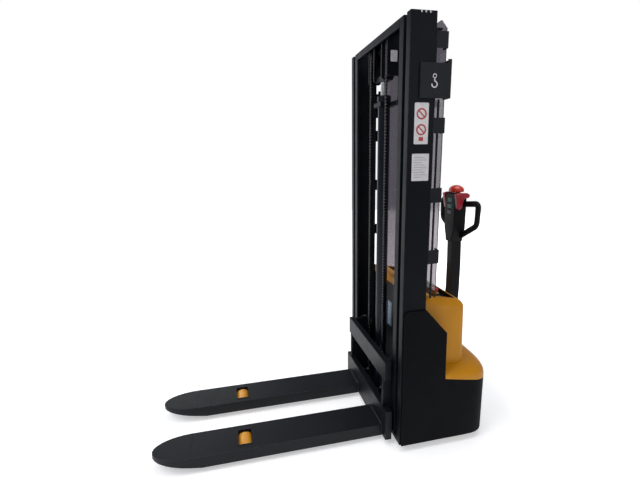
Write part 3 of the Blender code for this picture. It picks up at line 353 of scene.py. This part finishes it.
# ---------------------------------------------------------------- shared modifiers
def smoothing_nodes():
    """Smooth faces with sharp edges over 34 degrees."""
    group = bpy.data.node_groups.new("smooth_by_angle", "GeometryNodeTree")
    group.interface.new_socket("Geometry", in_out="INPUT", socket_type="NodeSocketGeometry")
    group.interface.new_socket("Geometry", in_out="OUTPUT", socket_type="NodeSocketGeometry")
    nodes, links = group.nodes, group.links
    start, end = nodes.new("NodeGroupInput"), nodes.new("NodeGroupOutput")
    clear = nodes.new("GeometryNodeRemoveAttribute")
    clear.inputs["Name"].default_value = "custom_normal"
    smooth_faces = nodes.new("GeometryNodeSetShadeSmooth")
    smooth_edges = nodes.new("GeometryNodeSetShadeSmooth")
    smooth_edges.domain = "EDGE"
    sharp_edges = nodes.new("GeometryNodeSetShadeSmooth")
    sharp_edges.domain = "EDGE"
    sharp_edges.inputs["Shade Smooth"].default_value = False
    angle = nodes.new("GeometryNodeInputMeshEdgeAngle")
    wide = nodes.new("FunctionNodeCompare")
    wide.data_type, wide.operation = "FLOAT", "GREATER_THAN"
    wide.inputs[1].default_value = math.radians(34)
    links.new(angle.outputs[0], wide.inputs[0])
    links.new(wide.outputs[0], sharp_edges.inputs["Selection"])
    chain = [start, clear, smooth_faces, smooth_edges, sharp_edges, end]
    for before, after in zip(chain, chain[1:]):
        links.new(before.outputs[0], after.inputs[0])
    return group


SMOOTHING = smoothing_nodes()


def soften(thing, width, segments=2, weld=False, angle=32):
    """Round the edges of a piece and shade it smoothly, with modifiers only."""
    if weld:
        join = thing.modifiers.new("join", "WELD")
        join.merge_threshold = 0.00005
        flat = thing.modifiers.new("flat", "DECIMATE")
        flat.decimate_type, flat.angle_limit = "DISSOLVE", math.radians(0.5)
    if width:
        bevel = thing.modifiers.new("round", "BEVEL")
        bevel.width, bevel.segments = width, segments
        bevel.limit_method, bevel.angle_limit = "ANGLE", math.radians(angle)
    smooth = thing.modifiers.new("smooth", "NODES")
    smooth.node_group = SMOOTHING
    shading = thing.modifiers.new("shading", "WEIGHTED_NORMAL")
    shading.keep_sharp = True


def dress(node, material, width, segments=2):
    """Give a CAD node its finish and rounded edges."""
    thing = NODES[node]
    thing.data.materials.clear()
    thing.data.materials.append(MATERIALS[material])
    soften(thing, width, segments, weld=True)


# ---------------------------------------------------------------- meshes
def piece(name, mesh, material, body, bevel=0.0, segments=2, smooth=True):
    """A piece made in place, riding on a CAD body."""
    data = bpy.data.meshes.new(name)
    mesh.to_mesh(data)
    mesh.free()
    for entry in (material if isinstance(material, (list, tuple)) else [material]):
        data.materials.append(MATERIALS[entry])
    thing = bpy.data.objects.new(name, data)
    bpy.context.scene.collection.objects.link(thing)
    if smooth:
        soften(thing, bevel, segments)
    if body:
        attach(thing, body)
    return thing


def add_block(mesh, low, high, index=0):
    corners = [mesh.verts.new((x, y, z)) for z in (low[2], high[2]) for y in (low[1], high[1])
               for x in (low[0], high[0])]
    for face in ((0, 2, 3, 1), (4, 5, 7, 6), (0, 1, 5, 4), (2, 6, 7, 3), (0, 4, 6, 2), (1, 3, 7, 5)):
        mesh.faces.new([corners[i] for i in face]).material_index = index


def add_prism(mesh, axis, outline, start, end, index=0):
    """An outline in the two directions across axis, extruded from start to end."""
    slot = "XYZ".index(axis)
    rings = []
    for level in (start, end):
        ring = []
        for a, b in outline:
            point = [a, b]
            point.insert(slot, level)
            ring.append(mesh.verts.new(point))
        rings.append(ring)
    faces = [mesh.faces.new(rings[0]), mesh.faces.new(list(reversed(rings[1])))]
    for i in range(len(outline)):
        j = (i + 1) % len(outline)
        faces.append(mesh.faces.new((rings[0][i], rings[1][i], rings[1][j], rings[0][j])))
    for face in faces:
        face.material_index = index
    bmesh.ops.recalc_face_normals(mesh, faces=faces)


def add_lathe(mesh, profile, matrix, segments=32, index=0, closed=False):
    """A (radius, height) profile turned about the Z axis of matrix."""
    rings = []
    for radius, height in profile:
        if radius <= 0:
            rings.append([mesh.verts.new(matrix @ Vector((0, 0, height)))])
            continue
        rings.append([mesh.verts.new(matrix @ Vector((radius * math.cos(a), radius * math.sin(a), height)))
                      for a in (2 * math.pi * k / segments for k in range(segments))])
    pairs = list(zip(rings, rings[1:])) + ([(rings[-1], rings[0])] if closed else [])
    faces = []
    for low, high in pairs:
        if len(low) == 1 and len(high) == 1:
            continue
        for k in range(segments):
            n = (k + 1) % segments
            corners = [low[k % len(low)], low[n % len(low)], high[n % len(high)], high[k % len(high)]]
            faces.append(mesh.faces.new(list(dict.fromkeys(corners))))
    for face in faces:
        face.material_index = index
    bmesh.ops.recalc_face_normals(mesh, faces=faces)


def facing(place, direction):
    """A frame at place whose Z axis points along direction."""
    turn = Vector(direction).to_track_quat("Z", "Y").to_matrix().to_4x4()
    return Matrix.Translation(place) @ turn


def add_bolt(mesh, place, direction, radius=0.006, washer=True, index=0):
    """A socket button-head screw on a washer."""
    matrix = facing(place, direction)
    base = 0.0
    if washer:
        add_lathe(mesh, [(0, -0.0005), (radius * 1.7, -0.0005), (radius * 1.7, radius * 0.2),
                         (radius * 1.55, radius * 0.26), (0, radius * 0.26)], matrix, 20, index)
        base = radius * 0.24
    height = radius * 0.75
    dome = [(0, base - 0.0003), (radius, base), (radius, base + height * 0.35),
            (radius * 0.86, base + height * 0.75), (radius * 0.62, base + height),
            (radius * 0.5, base + height), (radius * 0.42, base + height * 0.45),
            (0, base + height * 0.4)]
    add_lathe(mesh, dome, matrix, 18, index)


def add_hex(mesh, place, direction, radius=0.009, index=0):
    """A hexagon bolt head with a chamfered top, on a washer."""
    matrix = facing(place, direction)
    washer = [(0, -0.0005), (radius * 1.4, -0.0005), (radius * 1.4, 0.0016), (0, 0.0018)]
    add_lathe(mesh, washer, matrix, 24, index)
    rings = [(radius, 0.0012), (radius, radius * 0.55), (radius * 0.86, radius * 0.68)]
    add_lathe(mesh, [(0, 0.0010)] + rings + [(0, radius * 0.68)], matrix, 6, index)


def rounded(outline, radius, steps=4):
    """Each corner of an outline as an arc."""
    points = []
    for i, corner in enumerate(outline):
        corner = Vector(corner)
        back = (Vector(outline[i - 1]) - corner).normalized()
        ahead = (Vector(outline[(i + 1) % len(outline)]) - corner).normalized()
        half = back.angle(ahead) / 2
        centre = corner + (back + ahead).normalized() * (radius / math.sin(half))
        first = corner + back * (radius / math.tan(half)) - centre
        last = corner + ahead * (radius / math.tan(half)) - centre
        turn = last.angle_signed(first)
        points += [tuple(centre + Matrix.Rotation(turn * k / steps, 2) @ first) for k in range(steps + 1)]
    return points


def rectangle(low_a, low_b, high_a, high_b, radius=0.0, steps=4):
    corners = [(low_a, low_b), (high_a, low_b), (high_a, high_b), (low_a, high_b)]
    return rounded(corners, radius, steps) if radius else corners


def add_tube(mesh, path, radius, sides=10, index=0, ripple=0.0, caps=True):
    """A round bar along a path; ripple swells it at each other point, as a weld bead does."""
    points = [Vector(p) for p in path]
    rings = []
    side = None
    for i, point in enumerate(points):
        along = (points[min(i + 1, len(points) - 1)] - points[max(i - 1, 0)]).normalized()
        if side is None:
            side = along.orthogonal().normalized()
        side = (side - along * side.dot(along)).normalized()
        up = along.cross(side)
        size = radius * (1 + (ripple if i % 2 else -ripple))
        rings.append([mesh.verts.new(point + (side * math.cos(a) + up * math.sin(a)) * size)
                      for a in (2 * math.pi * k / sides for k in range(sides))])
    faces = []
    for low, high in zip(rings, rings[1:]):
        for k in range(sides):
            n = (k + 1) % sides
            faces.append(mesh.faces.new((low[k], low[n], high[n], high[k])))
    if caps:
        faces.append(mesh.faces.new(list(reversed(rings[0]))))
        faces.append(mesh.faces.new(rings[-1]))
    for face in faces:
        face.material_index = index
    return faces


def add_weld(mesh, start, end, radius=0.0032):
    """A rippled weld bead along a straight joint."""
    start, end = Vector(start), Vector(end)
    count = max(4, int((end - start).length / 0.0035))
    add_tube(mesh, [start.lerp(end, k / count) for k in range(count + 1)], radius, 7, ripple=0.12)


# ---------------------------------------------------------------- CAD nodes
def dress_nodes():
    plain = {
        "mast_paint": (("outer_mast_rail", 0.0022), ("inner_mast_rail", 0.0022),
                       ("outer_mast_top_beam", 0.0015), ("inner_mast_top_beam", 0.0015),
                       ("inner_mast_bottom_beam", 0.0015), ("crosshead", 0.0014),
                       ("chain_anchor_bracket", 0.0014)),
        "fork_paint": (("fork", 0.0024), ("support_leg", 0.0016), ("carriage_frame", 0.0018),
                       ("base_frame", 0.0012)),
        "bracket_paint": (("lifting_bracket", 0.0012), ("guard_bracket", 0.0008)),
        "cover_texture": (("side_cover", 0.0018),),
        "moulding_yellow": (("rear_cover", 0.0022),),
        "moulding_black": (("control_panel", 0.0012), ("tiller_arm", 0.0040), ("handle_head", 0.0016),
                           ("handle_loop", 0.0008)),
        "clear_guard": (("mast_guard", 0.0006),),
        "cylinder_gloss": (("cylinder_barrel", 0.0012),),
        "chrome_rod": (("lift_rod", 0.0010),),
        "pulley_steel": (("chain_pulley", 0.0008),),
        "zinc_steel": (("mast_roller", 0.0008), ("carriage_roller_lower", 0.0008),
                       ("carriage_roller_upper", 0.0008), ("caster_fork", 0.0010), ("key_switch", 0.0005)),
        "cast_housing": (("drive_gearbox", 0.0016), ("drive_motor", 0.0012), ("tiller_yoke", 0.0014)),
        "pump_alloy": (("hydraulic_power_unit", 0.0020),),
        "battery_case": (("battery", 0.0030),),
        "tyre_amber": (("caster_wheel", 0.0008), ("load_wheel", 0.0008)),
        "tyre_black": (("drive_wheel", 0.0008),),
        "oiled_chain": (("lift_chain", 0.0004),),
        "moulding_red": (("estop_button", 0.0006), ("belly_button", 0.0010)),
        "moulding_crimson": (("throttle", 0.0010),),
        "moulding_teal": (("horn_button", 0.0006), ("lift_button", 0.0006)),
        "moulding_grey": (("lower_button", 0.0006),),
    }
    for material, entries in plain.items():
        for stem, width in entries:
            found = [name for name in (stem, f"{stem}_left", f"{stem}_right") if name in NODES]
            for name in found:
                dress(name, material, width)


# ---------------------------------------------------------------- chains
PITCH = 0.015875


def add_link(mesh, a, b, across, x_low, x_high, radius, index=0):
    """One chain plate between two pins: a waisted oval, thick from x_low to x_high."""
    along = (b - a).normalized()
    normal = across.cross(along).normalized()
    steps = 5
    outline = []
    for centre, direction in ((b, 1), (a, -1)):
        for k in range(steps + 1):
            angle = -math.pi / 2 + math.pi * k / steps
            outline.append(centre + direction * (along * math.cos(angle) + normal * math.sin(angle)) * radius)
        middle = (a + b) / 2 + normal * direction * radius * 0.74
        outline.append(middle)
    rings = [[mesh.verts.new(point + across * level) for point in outline] for level in (x_low, x_high)]
    faces = [mesh.faces.new(rings[0]), mesh.faces.new(list(reversed(rings[1])))]
    for i in range(len(outline)):
        j = (i + 1) % len(outline)
        faces.append(mesh.faces.new((rings[0][i], rings[1][i], rings[1][j], rings[0][j])))
    for face in faces:
        face.material_index = index
    bmesh.ops.recalc_face_normals(mesh, faces=faces)


def chain_run(points, x):
    """Leaf chain over pin places given in (y, z): pairs of plates in turn, and the pins."""
    mesh = bmesh.new()
    across = Vector((1, 0, 0))
    pins = [Vector((x, y, z)) for y, z in points]
    outer = ((-0.0078, -0.0052), (-0.0013, 0.0013), (0.0052, 0.0078))
    inner = ((-0.0048, -0.0017), (0.0017, 0.0048))
    for k, (a, b) in enumerate(zip(pins, pins[1:])):
        for low, high in (outer if k % 2 == 0 else inner):
            add_link(mesh, a, b, across, low, high, 0.0039)
    pin_profile = [(0, -0.0082), (0.0017, -0.0082), (0.0020, -0.0078), (0.0020, 0.0078), (0.0017, 0.0082),
                   (0, 0.0082)]
    for pin in pins:
        add_lathe(mesh, pin_profile, facing(pin, across), 10, 1)
    return mesh


def chain_piece(name, points, x, body):
    return piece(name, chain_run(points, x), ["oiled_chain", "zinc_steel"], body)


def chains():
    radius = (CHAIN_REAR - CHAIN_FRONT) / 2
    centre_y = (CHAIN_REAR + CHAIN_FRONT) / 2
    front_length = PULLEY.z - CHAIN_LOW
    count = round((front_length - 0.006) / PITCH)
    step = (front_length - 0.006) / count
    front = [(CHAIN_FRONT, PULLEY.z - step * k) for k in range(count + 1)]
    turn_count = 7
    wrap = [(centre_y + radius * math.cos(a), PULLEY.z + radius * math.sin(a))
            for a in (math.pi * (1 - k / turn_count) for k in range(turn_count + 1))]
    rear_length = PULLEY.z - ANCHOR_Z - 0.005
    rear_count = round(rear_length / PITCH)
    rear = [(CHAIN_REAR, PULLEY.z - rear_length * k / rear_count) for k in range(rear_count + 1)]
    for label, side in SIDES:
        x = side * CHAIN_X
        front_piece = chain_piece(f"leaf_chain_front_{label}", front, x, "inner_mast")
        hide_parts(f"lift_chain_{label}")
        chain_piece(f"leaf_chain_wrap_{label}", wrap, x, "inner_mast")
        rear_piece = chain_piece(f"leaf_chain_rear_{label}", rear, x, None)
        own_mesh(front_piece)
        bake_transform(rear_piece)


# ---------------------------------------------------------------- wheels
def load_wheels():
    for label, side in SIDES:
        mesh = bmesh.new()
        centre = Matrix.Translation((side * WHEEL.x, WHEEL.y, WHEEL.z))
        axle = centre @ Matrix.Rotation(math.pi / 2, 4, "Y")
        half, r, bore = WHEEL_HALF, WHEEL_R, 0.0103
        tyre = [(r * 0.72, -half), (r - 0.0045, -half), (r - 0.0014, -half + 0.0012),
                (r - 0.0002, -half + 0.0048), (r, -half * 0.5), (r, half * 0.5), (r - 0.0002, half - 0.0048),
                (r - 0.0014, half - 0.0012), (r - 0.0045, half), (r * 0.72, half)]
        add_lathe(mesh, tyre, axle, 56, 0)
        # radius, distance in from the wheel's side face
        hub = [(r * 0.72, 0), (r * 0.70, 0.001), (r * 0.66, 0.005), (0.0235, 0.006), (0.0225, 0.002),
               (0.0180, 0.002), (0.0172, 0.0035), (bore, 0.0035)]
        for sign in (-1, 1):
            add_lathe(mesh, [(radius, sign * (half - depth)) for radius, depth in hub], axle, 40, 1)
        add_lathe(mesh, [(bore, -half + 0.0035), (bore, half - 0.0035)], axle, 40, 1)
        wheel = piece(f"load_roller_{label}", mesh, ["tyre_amber", "zinc_steel"], f"load_wheel_{label}")
        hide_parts(f"load_wheel_{label}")


# ---------------------------------------------------------------- forks and carriage
def fork_details():
    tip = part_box("fork_right")[0].y
    for label, _ in SIDES:
        low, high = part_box(f"fork_{label}")
        x = (low.x + high.x) / 2
        rim = bmesh.new()
        outer = rectangle(x - 0.0605, WHEEL.y - 0.042, x + 0.0605, WHEEL.y + 0.042, 0.014, 6)
        inner = rectangle(x - 0.0530, WHEEL.y - 0.0345, x + 0.0530, WHEEL.y + 0.0345, 0.0085, 6)
        tops = [[rim.verts.new((a, b, z)) for a, b in ring] for ring, z in
                ((outer, FORK_TOP - 0.0004), (outer, FORK_TOP + 0.0012), (inner, FORK_TOP + 0.0012),
                 (inner, FORK_TOP - 0.012))]
        for first, second in zip(tops, tops[1:]):
            for i in range(len(outer)):
                j = (i + 1) % len(outer)
                rim.faces.new((first[i], first[j], second[j], second[i]))
        bmesh.ops.recalc_face_normals(rim, faces=rim.faces)
        piece(f"wheel_window_rim_{label}", rim, "fork_paint", "carriage", 0.0006)
        weld = bmesh.new()
        nose_y, nose_z = tip + 0.183, FORK_TOP + 0.0001
        add_weld(weld, (low.x + 0.006, nose_y, nose_z), (high.x - 0.006, nose_y, nose_z), 0.0011)
        root_y, root_z = FACE - 0.001, FORK_TOP + 0.001
        add_weld(weld, (low.x + 0.004, root_y, root_z), (high.x - 0.004, root_y, root_z), 0.0042)
        for edge in (low.x - 0.001, high.x + 0.001):
            add_weld(weld, (edge, root_y, 0.034), (edge, root_y, FORK_TOP - 0.002), 0.0036)
        piece(f"fork_welds_{label}", weld, "weld_metal", "carriage")


def carriage_details():
    weld = bmesh.new()
    bar_low, bar_high, plate = FACE + 0.004, FACE + 0.036, FACE + 0.0345
    for side in (-1, 1):
        for x in (side * 0.2545, side * 0.2755):
            add_weld(weld, (x, bar_high + 0.001, 0.352), (x, bar_high + 0.001, 0.448), 0.0032)
        gusset_x = side * 0.268
        add_weld(weld, (gusset_x, bar_low + 0.001, 0.3495), (gusset_x, bar_low + 0.013, 0.3100), 0.0026)
        for lug_x in (side * (CHAIN_X - 0.012), side * (CHAIN_X + 0.012)):
            add_weld(weld, (lug_x, plate, 0.152), (lug_x, plate, 0.182), 0.0024)
    piece("carriage_welds", weld, "weld_metal", "carriage")
    nuts = bmesh.new()
    nut = [(0, 0), (0.0075, 0), (0.0075, 0.006), (0.0060, 0.0075), (0, 0.0075)]
    for side in (-1, 1):
        place = Vector((side * CHAIN_X, CHAIN_FRONT, CHAIN_LOW + 0.0005))
        add_lathe(nuts, nut, facing(place, (0, 0, 1)), 6)
    piece("chain_lug_nuts", nuts, "zinc_steel", "carriage", 0.0004)


# ---------------------------------------------------------------- mast
def mast_details():
    bolts = bmesh.new()
    for side in (-1, 1):
        for k in range(3):
            place = (side * 0.371, MAST_FRONT + 0.026 + 0.034 * k, MAST_TOP - 0.0042)
            add_bolt(bolts, place, (0, 0, 1), 0.0046, False)
    for side in (-1, 1):
        for y in (0.098, 0.117, 0.137):
            add_bolt(bolts, (side * (RAIL_X - 0.0002), FACE + y, 2.033), (side, 0, 0), 0.0048, False)
        for z in (1.945, 1.968):
            for x in (0.328, 0.300):
                add_hex(bolts, (side * x, MAST_REAR + 0.0125, z), (0, 1, 0), 0.0060)
    piece("mast_bolts", bolts, "zinc_steel", "chassis", 0.0003)
    cap = bmesh.new()
    for side in (-1, 1):
        low, high = sorted((side * 0.353, side * 0.389))
        add_block(cap, (low, MAST_FRONT + 0.002, MAST_TOP - 0.0085),
                  (high, MAST_REAR - 0.002, MAST_TOP - 0.0040))
    piece("rail_caps", cap, "moulding_black", "chassis", 0.0008)
    weld = bmesh.new()
    for side in (-1, 1):
        weld_y = MAST_REAR + 0.001
        add_weld(weld, (side * 0.354, weld_y, 1.929), (side * 0.386, weld_y, 1.929), 0.0026)
    piece("mast_welds", weld, "weld_metal", "chassis")


def bracket_details():
    """A plain hook sign on the outer face of each lifting bracket."""
    sign = bmesh.new()
    for side in (-1, 1):
        x = side * (BODY_X - 0.0009)
        y, z = FACE + 0.161, 1.757
        hook = [(x, y + 0.012 * math.cos(a), z + 0.012 * math.sin(a))
                for a in (math.radians(d) for d in range(-190, 81, 15))]
        add_tube(sign, [(x, y, z + 0.026), (x, y, z + 0.016)] + hook[::-1], 0.0026, 8)
        ring = [(x, y + 0.0075 * math.cos(a), z + 0.033 + 0.0075 * math.sin(a))
                for a in (math.radians(d) for d in range(0, 361, 20))]
        add_tube(sign, ring, 0.0018, 8, caps=False)
    for vert in sign.verts:
        middle = math.copysign(BODY_X - 0.0009, vert.co.x)
        vert.co.x = middle + (vert.co.x - middle) * 0.25
    bmesh.ops.recalc_face_normals(sign, faces=sign.faces)
    piece("hook_signs", sign, "label_white", "chassis")


def circle(y, z, radius, steps=36):
    turns = (math.pi * 2 * k / steps for k in range(steps))
    return [(y + radius * math.cos(a), z + radius * math.sin(a)) for a in turns]


def ring_label(x):
    """Two barred rings and a bar on a white film, without lettering."""
    film = bmesh.new()
    y0, y1 = FACE + 0.079, FACE + 0.144
    middle = (y0 + y1) / 2
    low, high = x + 0.0004, x + 0.0008
    add_prism(film, "X", rectangle(y0, 1.515, y1, 1.685, 0.004), x - 0.0002, x + 0.0006, 0)
    for z in (1.640, 1.575):
        outer, inner = circle(middle, z, 0.0235), circle(middle, z, 0.0165)
        rings = [[film.verts.new((level, a, b)) for a, b in line] for line, level in
                 ((outer, low), (outer, high), (inner, high), (inner, low))]
        for first, second in zip(rings, rings[1:] + rings[:1]):
            for k in range(len(outer)):
                n = (k + 1) % len(outer)
                face = film.faces.new((first[k], first[n], second[n], second[k]))
                face.material_index = 1
        bar = [(middle - 0.014, z + 0.010), (middle - 0.010, z + 0.014), (middle + 0.014, z - 0.010),
               (middle + 0.010, z - 0.014)]
        add_prism(film, "X", bar, low, x + 0.0009, 1)
    add_prism(film, "X", rectangle(y0 + 0.022, 1.528, y1 - 0.022, 1.545, 0.003), low, x + 0.0009, 1)
    bmesh.ops.recalc_face_normals(film, faces=film.faces)
    piece("ring_label", film, ["label_white", "label_red"], "chassis")


def rating_plate(x):
    plate = bmesh.new()
    y0, y1 = FACE + 0.073, FACE + 0.153
    add_prism(plate, "X", rectangle(y0, 1.359, y1, 1.475, 0.003), x - 0.0002, x + 0.0007, 0)
    start = y0 + 0.009
    for k in range(9):
        z = 1.459 - 0.0105 * k
        reach = (0.052, 0.060, 0.038)[k % 3]
        add_block(plate, (x + 0.0005, start, z - 0.0016), (x + 0.0009, start + reach, z + 0.0016), 1)
    piece("rating_plate", plate, ["label_white", "label_ink"], "chassis")


def labels():
    """Plain labels with no lettering."""
    ring_label(RAIL_X)
    rating_plate(RAIL_X)
    small = bmesh.new()
    bulkhead = FACE + 0.1725
    sheet = rectangle(-0.070, 0.487, -0.016, 0.635, 0.004)
    add_prism(small, "Y", sheet, bulkhead - 0.0009, bulkhead + 0.0002, 0)
    for k in range(5):
        z = 0.610 - 0.024 * k
        add_block(small, (-0.062, bulkhead - 0.0012, z), (-0.024, bulkhead - 0.0007, z + 0.007), 1)
    piece("bulkhead_label", small, ["label_blue", "label_white"], "chassis")
    plate_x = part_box("crosshead")[1].x
    mark = bmesh.new()
    sheet = rectangle(FACE + 0.078, 1.905, FACE + 0.112, 1.955, 0.004)
    add_prism(mark, "X", sheet, plate_x - 0.0002, plate_x + 0.0006, 0)
    piece("crosshead_label", mark, "label_white", "inner_mast")


def guard_details():
    """Screws that hold the clear sheet to the feet of its brackets."""
    screws = bmesh.new()
    for side in (-1, 1):
        for z in (0.975, 1.259, 1.560, 1.902):
            add_bolt(screws, (side * 0.3575, GUARD_REAR - 0.0002, z + 0.032), (0, 1, 0), 0.0050)
    piece("guard_screws", screws, "zinc_steel", "chassis")


# ---------------------------------------------------------------- body
def body_details():
    screws = bmesh.new()
    for side in (-1, 1):
        for y, z in ((0.110, 0.100), (0.110, 0.690), (0.300, 0.100), (0.262, 0.600)):
            add_bolt(screws, (side * (BODY_X - 0.0036), FACE + y, z), (side, 0, 0), 0.0048, False)
    piece("cover_screws", screws, "moulding_black", "chassis")


def panel_details():
    """Display, collars and lamp row in the sloping control tray."""
    slope = math.atan2(COLUMN_DROP, COLUMN_DEPTH)
    origin = Vector((0.0, FACE + 0.318, COLUMN_TOP - math.tan(slope) * 0.146))
    tray = Matrix.Translation(origin) @ Matrix.Rotation(-slope, 4, "X")
    floor_z = -0.020
    made = bmesh.new()
    bezel = rectangle(-0.100, -0.035, 0.000, 0.035, 0.006)
    add_prism(made, "Z", bezel, floor_z - 0.0005, floor_z + 0.0060, 0)
    screen = rectangle(-0.092, -0.027, -0.008, 0.027, 0.003)
    add_prism(made, "Z", screen, floor_z + 0.0050, floor_z + 0.0064, 1)
    for k in range(4):
        x = -0.085 + 0.018 * k
        add_prism(made, "Z", rectangle(x, -0.014, x + 0.012, 0.010 - 0.005 * k, 0.001), floor_z + 0.0060,
                  floor_z + 0.0068, 2)
    bmesh.ops.transform(made, matrix=tray, verts=made.verts)
    piece("panel_display", made, ["moulding_black", "display_glass", "display_mark"], "chassis")
    rings = bmesh.new()
    collar = [(0.0100, floor_z - 0.0005), (0.0265, floor_z - 0.0005), (0.0265, floor_z + 0.0016),
              (0.0250, floor_z + 0.0026), (0.0100, floor_z + 0.0026)]
    add_lathe(rings, collar, Matrix.Translation((0.150, 0.030, 0)), 36, 0, closed=True)
    nut = [(0.0140, floor_z - 0.0005), (0.0185, floor_z - 0.0005), (0.0180, floor_z + 0.0030),
           (0.0140, floor_z + 0.0030)]
    add_lathe(rings, nut, Matrix.Translation((0.060, 0.030, 0)), 32, 1, closed=True)
    for k in range(3):
        add_lathe(rings, [(0, floor_z - 0.0005), (0.0042, floor_z - 0.0005), (0.0042, floor_z + 0.0012),
                          (0.0028, floor_z + 0.0028), (0, floor_z + 0.0034)],
                  Matrix.Translation((0.205 + 0.022 * k, 0.030, 0)), 20, 2)
    bmesh.ops.transform(rings, matrix=tray, verts=rings.verts)
    piece("panel_collars", rings, ["label_yellow", "zinc_steel", "moulding_grey"], "chassis")


# ---------------------------------------------------------------- stage
def floor():
    mesh = bmesh.new()
    bmesh.ops.create_circle(mesh, cap_ends=True, segments=128, radius=9.0)
    look = Look("studio_floor", 0.9, specular=0.1)
    mottle = look.spread(look.noise(0.8, 2), 0.4, 0.6)
    look.set("Base Color", look.mix(mottle, rgb(240, 240, 240), rgb(236, 236, 236)))
    look.set("Emission Color", (1.0, 1.0, 1.0, 1.0))
    away = look.node("ShaderNodeVectorMath", operation="LENGTH")
    look.join(look.coords, away.inputs[0])
    seen = look.node("ShaderNodeLightPath").outputs["Is Camera Ray"]
    backdrop = look.spread(away.outputs["Value"], 1.1, 2.6, 0.45, 1.3)
    look.set("Emission Strength", look.blend(seen, 0.40, backdrop))
    data = bpy.data.meshes.new("floor")
    mesh.to_mesh(data)
    mesh.free()
    data.materials.append(look.material)
    thing = bpy.data.objects.new("floor", data)
    thing.location.z = -0.0004
    bpy.context.scene.collection.objects.link(thing)


def lamp(name, place, target, size, power, colour=(1, 1, 1)):
    light = bpy.data.lights.new(name, "AREA")
    light.shape, light.size, light.size_y = "RECTANGLE", size[0], size[1]
    light.energy, light.color = power, colour
    thing = bpy.data.objects.new(name, light)
    thing.location = place
    thing.rotation_euler = (Vector(target) - Vector(place)).to_track_quat("-Z", "Y").to_euler()
    bpy.context.scene.collection.objects.link(thing)


def lights():
    world = bpy.data.worlds.new("studio")
    world.use_nodes = True
    bpy.context.scene.world = world
    tree = world.node_tree
    backdrop = tree.nodes["Background"]
    backdrop.inputs["Color"].default_value = (1.0, 1.0, 1.0, 1.0)
    backdrop.inputs["Strength"].default_value = 1.0
    fill = tree.nodes.new("ShaderNodeBackground")
    fill.inputs["Color"].default_value = (0.86, 0.89, 1.0, 1.0)
    fill.inputs["Strength"].default_value = 0.30
    mix = tree.nodes.new("ShaderNodeMixShader")
    path = tree.nodes.new("ShaderNodeLightPath")
    tree.links.new(path.outputs["Is Camera Ray"], mix.inputs["Fac"])
    tree.links.new(fill.outputs["Background"], mix.inputs[1])
    tree.links.new(backdrop.outputs["Background"], mix.inputs[2])
    tree.links.new(mix.outputs["Shader"], tree.nodes["World Output"].inputs["Surface"])
    lamp("key", (1.2, -2.6, 3.6), (0, 0, 0.8), (2.2, 2.2), 70)
    lamp("overhead", (0.0, 0.4, 4.6), (0, 0.2, 0), (3.0, 3.0), 90)
    lamp("far_wall", (-4.0, -1.6, 1.6), (0, 0, 1.0), (3.0, 3.2), 34)
    lamp("near_fill", (3.4, 1.8, 2.4), (0, 0.4, 0.6), (1.8, 1.8), 14)


def camera():
    data = bpy.data.cameras.new("camera")
    data.sensor_width, data.lens = 36.0, 21.67
    data.sensor_fit = "HORIZONTAL"
    thing = bpy.data.objects.new("camera", data)
    azimuth, pitch, roll = math.radians(77.28), math.radians(-11.94), math.radians(-1.1)
    level = math.cos(pitch)
    forward = Vector((-math.sin(azimuth) * level, math.cos(azimuth) * level, math.sin(pitch)))
    right = forward.cross(Vector((0, 0, 1))).normalized()
    up = right.cross(forward)
    turned_right = right * math.cos(roll) + up * math.sin(roll)
    turned_up = up * math.cos(roll) - right * math.sin(roll)
    basis = Matrix((turned_right, turned_up, -forward)).transposed().to_4x4()
    thing.matrix_world = Matrix.Translation((1.953, -0.4095, 1.463)) @ basis
    bpy.context.scene.collection.objects.link(thing)
    bpy.context.scene.camera = thing


dress_nodes()
chains()
load_wheels()
fork_details()
carriage_details()
mast_details()
bracket_details()
labels()
guard_details()
body_details()
panel_details()
floor()
lights()
camera()
bpy.context.scene.view_settings.view_transform = "Standard"
